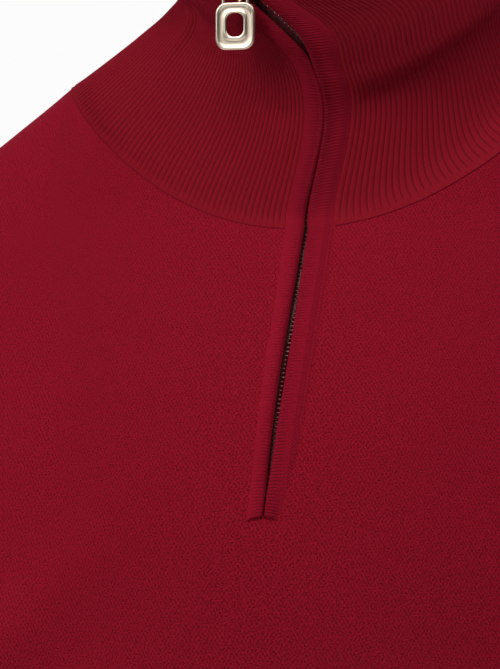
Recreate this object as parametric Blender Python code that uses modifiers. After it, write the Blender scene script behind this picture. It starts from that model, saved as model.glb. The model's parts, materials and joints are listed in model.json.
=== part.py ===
"""A quarter-zip sweater, worn: hollow knitted panels, ribbed collar, hem and cuffs, a zip and its pull.

Tables and sizes are in millimetres; objects are in metres. The front faces -Y, up is +Z and the
origin lies between the two neck points of the shoulders.
"""

from math import cos, pi, radians, sin

import bpy
import numpy as np
from mathutils import Euler, Matrix, Vector

MM = 0.001
SEAM_GAP = 0.6
SIDE_GAP = 0.4
SIDE_SLACK = 1.6
INNER_SLACK = 1.6
BAND_CLEARANCE = 0.9
PANEL_WALL = 2.0
COLLAR_WALL = 2.2
RIB_HEIGHT = 0.8
BAND_WALL = 2.4
BAND_RISES = (0.2, 1.2, 0.3)
TAPE_WALL = 1.0
TAPE_DEPTH = 3.6

# Body: rings from the hem up to the neck. Front and back are the depths on the middle line.
ROUNDNESS = 2.3
BODY_COLUMNS = ("height", "half_width", "front", "back")
BODY_RINGS = (
    (-690, 176, 118, 112),
    (-620, 180, 121, 115),
    (-592, 197, 134, 127),
    (-500, 201, 137, 124),
    (-400, 199, 132, 118),
    (-300, 207, 139, 126),
    (-230, 213, 144, 133),
    (-170, 219, 139, 132),
    (-120, 230, 122, 124),
    (-90, 236, 104, 115),
    (-62, 222, 85, 104),
    (-48, 193, 75, 97),
    (-30, 160, 67, 90),
    (-8, 130, 61, 80),
    (9, 109, 56, 70),
    (20, 97, 53, 62),
)
HEM_SEAM = -620
HEM_END = -690
NECK_HALF_WIDTH = 109
NECK_FRONT = -53
NECK_BACK = -8
NECK_SIDE = 9
NECK_LEAN = 0.08
SHOULDER_HALF_WIDTH = 200

# Armholes: half width of the front and of the back between them, by height.
ARMHOLE_COLUMNS = ("height", "front", "back")
ARMHOLE_EDGE = (
    (-240, 213, 213),
    (-215, 214, 214),
    (-190, 203, 207),
    (-160, 191, 198),
    (-120, 186, 194),
    (-85, 190, 195),
    (-52, 200, 200),
    (0, 200, 200),
)
UNDERARM = -215
SHOULDER_POINT = -51.5

# Collar: rings above the neck seam. The front of each ring is carried sideways by its twist.
COLLAR_COLUMNS = (
    "share", "half_width", "front", "back", "front_height", "side_height", "back_height", "shift", "twist",
)
COLLAR_RINGS = (
    (0.14, 98, 72, 73, -46, 13, 8, -6, 3.5),
    (0.36, 78, 66, 67, -12, 31, 28, -2, 6),
    (0.58, 71, 70, 66, 9, 46, 50, 7, -3.5),
    (0.80, 73, 77, 64, 28, 64, 74, -3, -5.5),
    (0.90, 70, 79, 63, 39, 73, 84, -7, -14.5),
    (1.00, 66, 81, 62, 52, 82, 94, -11, -23),
)
COLLAR_HEIGHT = 115
TWIST_CENTRE = 25
TURN_COLUMNS = ("share", "width")
TURN_WIDTH = (
    (0.00, 109),
    (0.20, 95),
    (0.40, 78),
    (0.60, 66),
    (0.80, 47),
    (0.90, 43),
    (1.00, 46),
)

# Zip: the line it follows down the front, then the half gap that its bands leave and how far each
# band reaches across from the line, by distance along it from the neck seam.
ZIP_COLUMNS = ("height", "sideways")
ZIP_LINE = (
    (-190, -9.5),
    (-170, -8.2),
    (-110, -3.6),
    (-53, 0.0),
    (-20, 1.0),
)
GAP_COLUMNS = ("along", "half_gap")
BAND_GAP = (
    (-114, 0.25),
    (-106, 0.25),
    (-95, 0.5),
    (-80, 0.8),
    (-45, 1.15),
    (-15, 0.85),
    (10, 0.55),
    (30, 0.35),
    (60, 0.25),
    (76, 0.4),
    (86, 1.5),
    (115, 1.9),
)
BAND_END = -114
EDGE_COLUMNS = ("along", "right", "left")
BAND_EDGES = (
    (-114, -6.2, 5.2),
    (-109, -6.3, 6.6),
    (-102, -6.4, 8.2),
    (-92, -6.6, 9.6),
    (-72, -7.0, 10.6),
    (-35, -7.4, 11.0),
    (0, -8.0, 11.0),
    (115, -8.0, 11.0),
)
TAPE_REACH = 10.0
TAPE_START = 1.6

# Sleeves: rings from the armhole down, by the innermost and outermost point of each.
SLEEVE_COLUMNS = ("inner_x", "inner_z", "outer_x", "outer_z", "half_depth", "forward")
SLEEVE_RINGS = (
    (217, -219, 227, -58, 79, 0),
    (219, -224, 262, -80, 77, 0),
    (221, -232, 292, -122, 73, 0),
    (223, -248, 311, -176, 68, 0),
    (227, -282, 326, -240, 62, 0),
    (237, -342, 338, -316, 57, 1),
    (250, -410, 345, -395, 52, 4),
    (262, -470, 349, -458, 47, 9),
    (273, -530, 350, -520, 41, 15),
    (281, -566, 349, -560, 36, 20),
    (286, -584, 346, -580, 32, 23),
)
CUFF_RINGS = (
    (287, -585, 345, -581, 30, 23),
    (290, -610, 345, -606, 28, 26),
    (292, -654, 346, -650, 27.5, 32),
)

# Slider, on the zip near the collar's top, and the pull that hangs from its bridge.
SLIDER_ALONG = 107
SLIDER_LENGTH = 12
SLIDER_WIDTH = 8.4
PLATE = 1.2
PLATE_FRONT = 1.9
PLATE_BEHIND = 5.4
POST_WIDTH = 2.0
POST_LENGTH = 4
BRIDGE_SPAN = 6.4
BRIDGE_RISE = 3.4
BRIDGE_BAR = 1.3
HINGE_RISE = 1.3
PULL_TURN = -12
TAB_LENGTH = 19
TAB_WIDTH = 16.5
TAB_THICKNESS = 2.2
TAB_CORNER = 4.5
TAB_LIFT = 0.6
WINDOW_WIDTH = 7.4
WINDOW_LENGTH = 9.4
WINDOW_CORNER = 3.0
BAIL_HALF_WIDTH = 5.2
BAIL_RISE = 8.0
BAIL_BAR = 1.4

# Mesh sizes: divisions of each piece.
NECK_COLUMNS = 8
SHOULDER_COLUMNS = 6
LOW_ROWS = 10
HIGH_ROWS = 11
BAND_ROWS = 40
TAPE_ROWS = 34
COLLAR_ROWS = 10
SLEEVE_DIVISIONS = 24
COLLAR_RIBS = 90
HEM_RIBS = 96
CUFF_RIBS = 30
RIBS_PER_INNER_SIDE = 3
CUFF_RIBS_PER_INNER_SIDE = 2

KNIT_RED = (0.225, 0.0062, 0.0185)
RIB_RED = (0.19, 0.006, 0.015)
TAPE_BLACK = (0.012, 0.008, 0.009)
PALE_METAL = (0.62, 0.52, 0.4)


def column(table, names, name):
    place = names.index(name)
    return np.array([row[place] for row in table], float)


def smooth(table, names, key, name, at):
    """The value of a column at `at`, on a smooth curve through the rows."""
    knots = column(table, names, key)
    values = column(table, names, name)
    at = np.clip(np.asarray(at, float), knots[0], knots[-1])
    first = np.clip(np.searchsorted(knots, at, side="right") - 1, 0, len(knots) - 2)
    return hermite(knots, values, slopes(knots, values), first, at)


def slopes(knots, values):
    spans = np.diff(knots).reshape((-1,) + (1,) * (values.ndim - 1))
    steps = np.diff(values, axis=0) / spans
    found = np.empty_like(values)
    found[0] = steps[0]
    found[-1] = steps[-1]
    found[1:-1] = (steps[:-1] * spans[1:] + steps[1:] * spans[:-1]) / (spans[1:] + spans[:-1])
    return found


def hermite(knots, values, grade, first, at):
    span = knots[first + 1] - knots[first]
    t = (at - knots[first]) / span
    start = (2 * t**3 - 3 * t**2 + 1) * values[first] + (t**3 - 2 * t**2 + t) * span * grade[first]
    end = (3 * t**2 - 2 * t**3) * values[first + 1] + (t**3 - t**2) * span * grade[first + 1]
    return start + end


def smoothstep(t):
    t = np.clip(t, 0, 1)
    return t * t * (3 - 2 * t)


def points(x, y, z):
    return np.stack(np.broadcast_arrays(x, y, z), -1)


def body_depth(x, height, side):
    """How far the body's surface lies from the middle at x: side is -1 in front and 1 behind."""
    half_width = smooth(BODY_RINGS, BODY_COLUMNS, "height", "half_width", height)
    depth = smooth(BODY_RINGS, BODY_COLUMNS, "height", "front" if side < 0 else "back", height)
    share = np.clip(np.abs(x) / half_width, 0, 1)
    return side * depth * (1 - share**ROUNDNESS) ** (1 / ROUNDNESS)


def front_surface(x, height):
    return points(x, body_depth(x, height, -1), height)


def neck_height(sine, cosine):
    """Height of the neck seam: low in front and higher at the sides, leaning up to the wearer's left."""
    middle = np.where(cosine >= 0, NECK_FRONT, NECK_BACK)
    return middle * (cosine**2 - NECK_LEAN * sine * cosine) + NECK_SIDE * np.abs(sine) ** 3


def neckline(angle):
    """The neck seam: angle 0 is the middle of the front, and 90 degrees the wearer's left."""
    x = NECK_HALF_WIDTH * np.sin(angle)
    in_front = np.cos(angle) >= 0
    height = neck_height(np.sin(angle), np.cos(angle))
    depth = np.where(in_front, body_depth(x, height, -1), body_depth(x, height, 1))
    return points(x, depth, height)


def collar_ring(row, angle):
    ring = dict(zip(COLLAR_COLUMNS, row))
    turned = angle + radians(ring["twist"]) * np.cos((angle - radians(TWIST_CENTRE)) / 2) ** 4
    in_front = np.cos(turned) >= 0
    x = ring["shift"] + ring["half_width"] * np.sin(turned)
    y = np.where(in_front, -ring["front"], -ring["back"]) * np.cos(turned)
    middle = np.where(in_front, ring["front_height"], ring["back_height"])
    height = ring["side_height"] + (middle - ring["side_height"]) * np.cos(turned) ** 2
    return points(x, y, height)


def collar_surface(angle, share):
    """A point on the collar's outside, share 0 at the neck seam and 1 at its top edge."""
    angle, share = np.broadcast_arrays(np.asarray(angle, float), np.asarray(share, float))
    flat_angle = angle.ravel()
    flat_share = share.ravel()
    knots = np.concatenate([[0.0], column(COLLAR_RINGS, COLLAR_COLUMNS, "share")])
    rings = np.stack([neckline(flat_angle)] + [collar_ring(row, flat_angle) for row in COLLAR_RINGS])
    grade = slopes(knots, rings)
    first = np.clip(np.searchsorted(knots, flat_share, side="right") - 1, 0, len(knots) - 2)
    which = np.arange(len(flat_angle))
    span = (knots[first + 1] - knots[first])[:, None]
    t = (flat_share[:, None] - knots[first][:, None]) / span
    start = (2 * t**3 - 3 * t**2 + 1) * rings[first, which]
    start = start + (t**3 - 2 * t**2 + t) * span * grade[first, which]
    end = (3 * t**2 - 2 * t**3) * rings[first + 1, which] + (t**3 - t**2) * span * grade[first + 1, which]
    return (start + end).reshape(angle.shape + (3,))


def width_per_turn(share):
    """Millimetres square to the zip for each radian round the collar, at the zip."""
    return smooth(TURN_WIDTH, TURN_COLUMNS, "share", "width", share)


def zip_surface(across, along):
    """The outside beside the zip: along is negative on the front panel and positive on the collar."""
    across, along = np.broadcast_arrays(np.asarray(across, float), np.asarray(along, float))
    height = NECK_FRONT + np.minimum(along, 0)
    sideways = smooth(ZIP_LINE, ZIP_COLUMNS, "height", "sideways", height)
    on_panel = front_surface(sideways + across, height)
    share = np.clip(along / COLLAR_HEIGHT, 0, 1)
    on_collar = collar_surface(across / width_per_turn(share), share)
    return np.where((along < 0)[..., None], on_panel, on_collar)


def moved_out(surface, a, b, distance, reach=0.02):
    """Points of a surface moved along its outward normal."""
    a, b = np.broadcast_arrays(np.asarray(a, float), np.asarray(b, float))
    step_a = surface(a + reach, b) - surface(a - reach, b)
    step_b = surface(a, b + reach) - surface(a, b - reach)
    normal = np.cross(step_a, step_b)
    normal /= np.linalg.norm(normal, axis=-1, keepdims=True)
    return surface(a, b) + normal * np.asarray(distance)[..., None]


def make_material(name, colour, roughness, metallic):
    material = bpy.data.materials.new(name)
    material.use_nodes = True
    shader = material.node_tree.nodes["Principled BSDF"]
    shader.inputs["Base Color"].default_value = (*colour, 1)
    shader.inputs["Roughness"].default_value = roughness
    shader.inputs["Metallic"].default_value = metallic
    return material


def make_object(name, vertices, faces, material, collection):
    mesh = bpy.data.meshes.new(name)
    mesh.from_pydata([tuple(p) for p in np.asarray(vertices) * MM], [], faces)
    mesh.validate()
    mesh.materials.append(material)
    for face in mesh.polygons:
        face.use_smooth = True
    obj = bpy.data.objects.new(name, mesh)
    collection.objects.link(obj)
    return obj


def quads(row_count, column_count, closed=False, leave_out=None):
    """Faces of a grid whose rows run along its columns' order; leave_out names cells to skip."""
    faces = []
    cells = column_count if closed else column_count - 1
    for i in range(row_count - 1):
        for j in range(cells):
            if leave_out and leave_out(i, j):
                continue
            k = (j + 1) % column_count
            low = i * column_count
            high = low + column_count
            faces.append((low + j, low + k, high + k, high + j))
    return faces


def make_sheet(name, grid, wall, material, collection, closed=False, leave_out=None, mirrored=False):
    """An open surface from a grid of points, given a wall by a Solidify on its inside."""
    if mirrored:
        grid = (grid * (-1, 1, 1))[:, ::-1]
    rows, columns = grid.shape[:2]
    faces = quads(rows, columns, closed, leave_out)
    used = sorted({corner for face in faces for corner in face})
    place = {old: new for new, old in enumerate(used)}
    faces = [tuple(place[corner] for corner in face) for face in faces]
    obj = make_object(name, grid.reshape(-1, 3)[used], faces, material, collection)
    solidify = obj.modifiers.new("Wall", "SOLIDIFY")
    solidify.thickness = wall * MM
    solidify.offset = -1
    solidify.use_rim = True
    return obj


def make_ribbed(name, outer, inner, material, collection, closed, mirrored=False):
    """A wall whose outer grid has several columns for each column of its plain inner grid."""
    if mirrored:
        outer = (outer * (-1, 1, 1))[:, ::-1]
        inner = (inner * (-1, 1, 1))[:, ::-1]
    rows, wide = outer.shape[:2]
    narrow = inner.shape[1]
    start = rows * wide
    faces = quads(rows, wide, closed)
    faces += [tuple(start + corner for corner in face[::-1]) for face in quads(rows, narrow, closed)]
    cells = narrow if closed else narrow - 1
    per_cell = (wide if closed else wide - 1) // cells
    for row, turned in ((0, False), (rows - 1, True)):
        for cell in range(cells):
            edge = [row * wide + (cell * per_cell + k) % wide for k in range(per_cell + 1)]
            inside = [start + row * narrow + (cell + 1) % narrow, start + row * narrow + cell]
            face = edge + inside
            faces.append(tuple(face if turned else face[::-1]))
    if not closed:
        for i in range(rows - 1):
            low = i * wide
            low_in = start + i * narrow
            faces.append((low, low + wide, low_in + narrow, low_in))
            faces.append((low + 2 * wide - 1, low + wide - 1, low_in + narrow - 1, low_in + 2 * narrow - 1))
    vertices = np.concatenate([outer.reshape(-1, 3), inner.reshape(-1, 3)])
    return make_object(name, vertices, faces, material, collection)


def panel_rows():
    """How far up its column each row of a panel stands; one row ends just under the zip's notch."""
    notch = (NECK_FRONT + BAND_END - BAND_CLEARANCE - HEM_SEAM) / (NECK_FRONT - HEM_SEAM)
    below = np.linspace(0, 1, LOW_ROWS + 1) ** 1.35
    above = 1 - np.linspace(1, 0, HIGH_ROWS + 1) ** 1.4
    return np.concatenate([notch * below, notch + (1 - notch) * above[1:]])


def ridge_heights(x):
    heights = np.linspace(NECK_SIDE, SHOULDER_POINT - 3, 200)
    return np.interp(x, smooth(BODY_RINGS, BODY_COLUMNS, "height", "half_width", heights), heights)


def half_panel(side, half, start_at):
    """Half a panel from its middle out; start_at gives how far from the middle it begins, by height."""
    edge = "front" if side < 0 else "back"
    at_neck = start_at(NECK_FRONT)
    angles = np.linspace(at_neck / NECK_HALF_WIDTH, pi / 2, NECK_COLUMNS + 1)
    ridge_x = np.linspace(NECK_HALF_WIDTH, SHOULDER_HALF_WIDTH, SHOULDER_COLUMNS + 1)[1:]
    top_x = np.concatenate([NECK_HALF_WIDTH * np.sin(angles), ridge_x])
    neck_z = neck_height(half * np.sin(angles), -side * np.cos(angles))
    top_z = np.concatenate([neck_z - SEAM_GAP * np.cos(angles), ridge_heights(ridge_x)])
    low_angles = np.linspace(0.42, pi / 2, SHOULDER_COLUMNS + 1)[1:]
    by_neck = np.linspace(0, 0.45, NECK_COLUMNS + 1)
    low_share = np.concatenate([by_neck, np.sin(low_angles) ** (2 / ROUNDNESS)])
    low_z = HEM_SEAM + SEAM_GAP
    height = low_z + (top_z - low_z) * panel_rows()[:, None]
    body = smooth(BODY_RINGS, BODY_COLUMNS, "height", "half_width", height)
    armhole = smooth(ARMHOLE_EDGE, ARMHOLE_COLUMNS, "height", edge, height)
    half_width = np.where(height < UNDERARM, body, armhole)
    rise = smoothstep((height + 340) / (top_z + 340))
    top_share = (top_x - at_neck) / (SHOULDER_HALF_WIDTH - at_neck)
    share = low_share * (1 - rise) + top_share * rise
    start = start_at(height)
    x = half * (start + (half_width - start) * share)
    if side < 0:
        x = x + smooth(ZIP_LINE, ZIP_COLUMNS, "height", "sideways", height) * (1 - share) ** 2
    return points(x, body_depth(x, height, side) + side * SIDE_GAP, height)


def make_front(material, collection):
    left = half_panel(-1, -1, lambda height: BAND_CLEARANCE - band_edge("right", height - NECK_FRONT))
    right = half_panel(-1, 1, lambda height: BAND_CLEARANCE + band_edge("left", height - NECK_FRONT))
    grid = np.concatenate([left[:, ::-1], right], axis=1)
    middle = NECK_COLUMNS + SHOULDER_COLUMNS

    def in_notch(row, cell):
        return cell == middle and row >= LOW_ROWS

    return make_sheet("front", grid, PANEL_WALL, material, collection, leave_out=in_notch)


def make_back(material, collection):
    left = half_panel(1, -1, np.zeros_like)
    right = half_panel(1, 1, np.zeros_like)
    grid = np.concatenate([right[:, ::-1], left[:, 1:]], axis=1)
    return make_sheet("back", grid, PANEL_WALL, material, collection)


def armhole_loop(angle):
    """The left armhole: angle 0 is the shoulder point, 90 degrees the front and 180 the underarm."""
    height = (SHOULDER_POINT + UNDERARM) / 2 + (SHOULDER_POINT - UNDERARM) / 2 * np.cos(angle)
    in_front = np.sin(angle) >= 0
    front_x = smooth(ARMHOLE_EDGE, ARMHOLE_COLUMNS, "height", "front", height)
    back_x = smooth(ARMHOLE_EDGE, ARMHOLE_COLUMNS, "height", "back", height)
    body = smooth(BODY_RINGS, BODY_COLUMNS, "height", "half_width", height)
    x = np.minimum(np.where(in_front, front_x, back_x), body)
    y = np.where(in_front, body_depth(x, height, -1), body_depth(x, height, 1))
    return points(x, y, height)


def sleeve_ring(row, angle):
    ring = dict(zip(SLEEVE_COLUMNS, row))
    inner = np.array((ring["inner_x"], -ring["forward"], ring["inner_z"]), float)
    outer = np.array((ring["outer_x"], -ring["forward"], ring["outer_z"]), float)
    across = (outer - inner) / 2 * np.cos(angle)[:, None]
    depth = np.array((0, -ring["half_depth"], 0)) * np.sin(angle)[:, None]
    return (inner + outer) / 2 + across + depth


def tube_between(rings, row_count):
    """Rows of a tube on a smooth curve through its rings."""
    knots = np.arange(len(rings), dtype=float)
    rings = np.stack(rings)
    at = np.linspace(0, len(rings) - 1, row_count)
    first = np.clip(at.astype(int), 0, len(rings) - 2)
    grade = slopes(knots, rings)
    t = (at - first)[:, None, None]
    start = (2 * t**3 - 3 * t**2 + 1) * rings[first] + (t**3 - 2 * t**2 + t) * grade[first]
    return start + (3 * t**2 - 2 * t**3) * rings[first + 1] + (t**3 - t**2) * grade[first + 1]


def make_sleeve(name, mirrored, material, collection):
    angles = np.linspace(0, 2 * pi, SLEEVE_DIVISIONS, endpoint=False)
    rings = [sleeve_ring(row, angles) for row in SLEEVE_RINGS]
    seam = armhole_loop(angles)
    away = rings[0] - seam
    seam = seam + away / np.linalg.norm(away, axis=1, keepdims=True) * SEAM_GAP
    grid = tube_between([seam] + rings, len(rings) + 1)
    return make_sheet(name, grid, PANEL_WALL, material, collection, closed=True, mirrored=mirrored)


def wall_normals(grid):
    """Outward normals of a closed tube of points."""
    along = np.gradient(grid, axis=0)
    around = np.roll(grid, -1, axis=1) - np.roll(grid, 1, axis=1)
    normal = np.cross(around, along)
    return normal / np.linalg.norm(normal, axis=-1, keepdims=True)


def even_loop(points_of, count):
    """Points of a closed curve at even distances, from a function of the angle."""
    dense = points_of(np.linspace(0, 2 * pi, 721))
    run = np.concatenate([[0], np.cumsum(np.linalg.norm(np.diff(dense, axis=0), axis=1))])
    at = np.linspace(0, run[-1], count, endpoint=False)
    return np.stack([np.interp(at, run, dense[:, axis]) for axis in range(3)], -1)


def ribbed_tube(name, loops, ribs, ribs_per_side, material, collection, mirrored=False):
    """A closed ribbed tube through the given loops, each a function of the angle."""
    base = np.stack([even_loop(loop, 2 * ribs) for loop in loops])
    normal = wall_normals(base)
    relief = np.where(np.arange(2 * ribs) % 2, RIB_HEIGHT, 0.0)[:, None]
    outer = base + normal * relief
    inner = (base - normal * COLLAR_WALL)[:, :: 2 * ribs_per_side]
    return make_ribbed(name, outer, inner, material, collection, True, mirrored)


def body_loop(height):
    def loop(angle):
        half_width = smooth(BODY_RINGS, BODY_COLUMNS, "height", "half_width", height)
        power = 2 / ROUNDNESS
        x = half_width * np.sign(np.sin(angle)) * np.abs(np.sin(angle)) ** power
        depth = np.where(np.cos(angle) >= 0, -smooth(BODY_RINGS, BODY_COLUMNS, "height", "front", height),
                         smooth(BODY_RINGS, BODY_COLUMNS, "height", "back", height))
        return points(x, depth * np.abs(np.cos(angle)) ** power, height)

    return loop


def make_hem(material, collection):
    loops = [body_loop(height) for height in np.linspace(HEM_END, HEM_SEAM - SEAM_GAP, 4)]
    return ribbed_tube("hem_rib", loops, HEM_RIBS, RIBS_PER_INNER_SIDE, material, collection)


def make_cuff(name, mirrored, material, collection):
    def loop(row):
        return lambda angle: sleeve_ring(row, angle)

    loops = [loop(row) for row in CUFF_RINGS]
    return ribbed_tube(name, loops, CUFF_RIBS, CUFF_RIBS_PER_INNER_SIDE, material, collection, mirrored)


def make_collar(material, collection):
    """The collar from the right band round the neck to the left band."""
    share = np.linspace(0, 1, COLLAR_ROWS + 1)
    first = (band_edge("left", 0) + BAND_CLEARANCE) / width_per_turn(share)
    last = 2 * pi + (band_edge("right", 0) - BAND_CLEARANCE) / width_per_turn(share)
    along = np.linspace(0, 1, 2 * COLLAR_RIBS + 1)
    angle = first[:, None] + (last - first)[:, None] * along
    share = share[:, None] * np.ones_like(angle)
    share[0] = (SEAM_GAP / 2 + SIDE_SLACK * np.sin(angle[0]) ** 2) / COLLAR_HEIGHT
    relief = np.where(np.arange(len(along)) % 2, RIB_HEIGHT, 0.0)
    outer = moved_out(collar_surface, angle, share, relief * np.ones_like(angle))
    step = 2 * RIBS_PER_INNER_SIDE
    few = angle[:, ::step]
    share = share[:, ::step]
    share[0] += INNER_SLACK / COLLAR_HEIGHT
    inner = moved_out(collar_surface, few, share, -COLLAR_WALL * np.ones_like(few))
    return make_ribbed("collar", outer, inner, material, collection, False)


def zip_strip(name, along, near, far, rises, wall, material, collection):
    """A strip along the zip from its near edge to its far one, with three columns raised by rises."""
    across = near[:, None] + (far - near)[:, None] * np.linspace(0, 1, 3)
    rise = np.broadcast_to(rises, across.shape)
    if far[0] < near[0]:
        across = across[:, ::-1]
        rise = rise[:, ::-1]
    grid = moved_out(zip_surface, across, along[:, None], rise, reach=0.3)
    return make_sheet(name, grid, wall, material, collection)


def make_zip_strips(knit, tape, collection):
    """The two bands and, behind them, the two tapes."""
    band_rows = np.linspace(BAND_END, COLLAR_HEIGHT, BAND_ROWS + 1)
    tape_rows = np.linspace(BAND_END, COLLAR_HEIGHT, TAPE_ROWS + 1)
    for name, side in (("right", -1), ("left", 1)):
        near = side * half_gap(band_rows)
        far = band_edge(name, band_rows)
        zip_strip("band_" + name, band_rows, near, far, BAND_RISES, BAND_WALL, knit, collection)
        near = np.full_like(tape_rows, side * TAPE_START)
        far = np.full_like(tape_rows, side * TAPE_REACH)
        zip_strip("tape_" + name, tape_rows, near, far, -TAPE_DEPTH, TAPE_WALL, tape, collection)


def half_gap(along):
    return smooth(BAND_GAP, GAP_COLUMNS, "along", "half_gap", along)


def band_edge(name, along):
    return smooth(BAND_EDGES, EDGE_COLUMNS, "along", name, along)


def rounded_outline(width, length, corner, steps=6):
    """A rounded rectangle, anticlockwise, about its own centre."""
    outline = []
    for start, side_x, side_z in ((0, 1, 1), (90, -1, 1), (180, -1, -1), (270, 1, -1)):
        for k in range(steps + 1):
            turn = radians(start + 90 * k / steps)
            outline.append((side_x * (width / 2 - corner) + corner * cos(turn),
                            side_z * (length / 2 - corner) + corner * sin(turn)))
    return outline


def block(name, size, centre, collection, bevel=0.0):
    bpy.ops.mesh.primitive_cube_add(size=MM, location=Vector(centre) * MM)
    obj = bpy.context.object
    obj.name = name
    obj.scale = size
    bpy.ops.object.transform_apply(location=True, rotation=False, scale=True)
    move_to(obj, collection)
    if bevel:
        edges = obj.modifiers.new("Edges", "BEVEL")
        edges.width = bevel * MM
        edges.segments = 2
    return obj


def bar(name, path, diameter, closed, collection):
    """A round bar along a path of points, as a bevelled curve turned into a mesh."""
    curve = bpy.data.curves.new(name, "CURVE")
    curve.dimensions = "3D"
    curve.bevel_depth = diameter / 2 * MM
    curve.bevel_resolution = 2
    curve.use_fill_caps = True
    spline = curve.splines.new("POLY")
    spline.points.add(len(path) - 1)
    for point, place in zip(spline.points, path):
        point.co = (*(Vector(place) * MM), 1)
    spline.use_cyclic_u = closed
    obj = bpy.data.objects.new(name, curve)
    bpy.context.scene.collection.objects.link(obj)
    bpy.ops.object.select_all(action="DESELECT")
    obj.select_set(True)
    bpy.context.view_layer.objects.active = obj
    bpy.ops.object.convert(target="MESH")
    made = bpy.context.object
    move_to(made, collection)
    return made


def move_to(obj, collection):
    for other in list(obj.users_collection):
        other.objects.unlink(obj)
    collection.objects.link(obj)


def join_to(obj, others, operation="UNION"):
    for other in others:
        other.hide_render = True
        other.display_type = "WIRE"
        boolean = obj.modifiers.new(other.name, "BOOLEAN")
        boolean.operation = operation
        boolean.solver = "EXACT"
        boolean.object = other


def slider_frame():
    """The slider's place on the zip: X across it, Z up along it, -Y away from the collar."""
    along = np.array([SLIDER_ALONG], float)
    place = zip_surface(0.0, along)[0]
    up = Vector(zip_surface(0.0, along + 3)[0] - zip_surface(0.0, along - 3)[0]).normalized()
    out = Vector(moved_out(zip_surface, 0.0, along, np.ones(1), reach=0.3)[0] - place)
    out = (out - up * out.dot(up)).normalized()
    across = up.cross(out)
    turn = Matrix((across, -out, up)).transposed()
    if turn.determinant() < 0:
        turn = Matrix((-across, -out, up)).transposed()
    return Matrix.LocRotScale(Vector(place) * MM, turn.to_quaternion(), None)


def make_slider(material, collection, helpers):
    frame = slider_frame()
    plate_y = -(PLATE_FRONT + PLATE / 2)
    behind_y = PLATE_BEHIND + PLATE / 2
    front = block("slider", (SLIDER_WIDTH, PLATE, SLIDER_LENGTH), (0, plate_y, 0), collection, 0.35)
    behind = block("slider_behind", (SLIDER_WIDTH, PLATE, SLIDER_LENGTH), (0, behind_y, 0), helpers, 0.35)
    post = block("slider_post", (POST_WIDTH, behind_y - plate_y, POST_LENGTH),
                 (0, (plate_y + behind_y) / 2, 2), helpers)
    arch = []
    for k in range(13):
        turn = pi * k / 12
        arch.append((0, plate_y - BRIDGE_RISE * sin(turn) ** 0.7, BRIDGE_SPAN / 2 * cos(turn)))
    bridge = bar("slider_bridge", arch, BRIDGE_BAR, False, helpers)
    for piece in (front, behind, post, bridge):
        piece.matrix_world = frame
    join_to(front, (post, behind, bridge))
    front.data.materials.append(material)
    return front


def hinge_frame():
    """The bail's bar under the slider's bridge: X is the hinge, turned to face out of the collar."""
    rise = PLATE_FRONT + PLATE + HINGE_RISE
    place = slider_frame() @ Vector((0, -rise * MM, 0))
    return Matrix.LocRotScale(place, Euler((0, 0, radians(PULL_TURN))), None)


def make_pull(material, collection, helpers):
    outline = rounded_outline(TAB_WIDTH, TAB_LENGTH, TAB_CORNER)
    window = rounded_outline(WINDOW_WIDTH, WINDOW_LENGTH, WINDOW_CORNER)
    centre_z = -(BAIL_RISE + TAB_LENGTH / 2 - 1.0)
    count = len(outline)
    vertices = []
    for side in (-1, 1):
        vertices += [(x, side * TAB_THICKNESS / 2, centre_z + z) for x, z in outline]
        vertices += [(x, side * TAB_THICKNESS / 2, centre_z + TAB_LIFT + z) for x, z in window]
    faces = []
    for k in range(count):
        n = (k + 1) % count
        faces.append((k, n, count + n, count + k))
        faces.append((2 * count + k, 3 * count + k, 3 * count + n, 2 * count + n))
        faces.append((n, k, 2 * count + k, 2 * count + n))
        faces.append((count + k, count + n, 3 * count + n, 3 * count + k))
    pull = make_object("pull_tab", vertices, faces, material, collection)
    for face in pull.data.polygons:
        face.use_smooth = False
    path = [(-BAIL_HALF_WIDTH, 0, -BAIL_RISE - 1.5)]
    for k in range(7):
        turn = pi - pi / 2 * k / 6
        path.append((-BAIL_HALF_WIDTH + 2 + 2 * cos(turn), 0, -2 + 2 * sin(turn)))
    for k in range(7):
        turn = pi / 2 - pi / 2 * k / 6
        path.append((BAIL_HALF_WIDTH - 2 + 2 * cos(turn), 0, -2 + 2 * sin(turn)))
    path.append((BAIL_HALF_WIDTH, 0, -BAIL_RISE - 1.5))
    bail = bar("pull_bail", path, BAIL_BAR, False, helpers)
    for piece in (pull, bail):
        piece.matrix_world = hinge_frame()
    join_to(pull, (bail,))
    return pull


def main():
    for obj in list(bpy.data.objects):
        bpy.data.objects.remove(obj)
    sweater = bpy.data.collections.new("sweater")
    helpers = bpy.data.collections.new("cutters")
    bpy.context.scene.collection.children.link(sweater)
    bpy.context.scene.collection.children.link(helpers)
    helpers.hide_render = True
    knit = make_material("red knit", KNIT_RED, 0.85, 0)
    rib = make_material("red rib", RIB_RED, 0.85, 0)
    tape = make_material("zip tape", TAPE_BLACK, 0.8, 0)
    metal = make_material("pale metal", PALE_METAL, 0.3, 1)
    make_front(knit, sweater)
    make_back(knit, sweater)
    make_sleeve("sleeve_left", False, knit, sweater)
    make_sleeve("sleeve_right", True, knit, sweater)
    make_collar(rib, sweater)
    make_hem(rib, sweater)
    make_cuff("cuff_left", False, rib, sweater)
    make_cuff("cuff_right", True, rib, sweater)
    make_zip_strips(knit, tape, sweater)
    make_slider(metal, sweater, helpers)
    make_pull(metal, sweater, helpers)


main()
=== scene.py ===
"""The sweater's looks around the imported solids: knit, ribs, bands, seams, zip, lights and camera."""

import json
from math import cos, pi, radians, sin

import bpy
import numpy as np
from mathutils import Euler, Matrix, Vector

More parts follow.
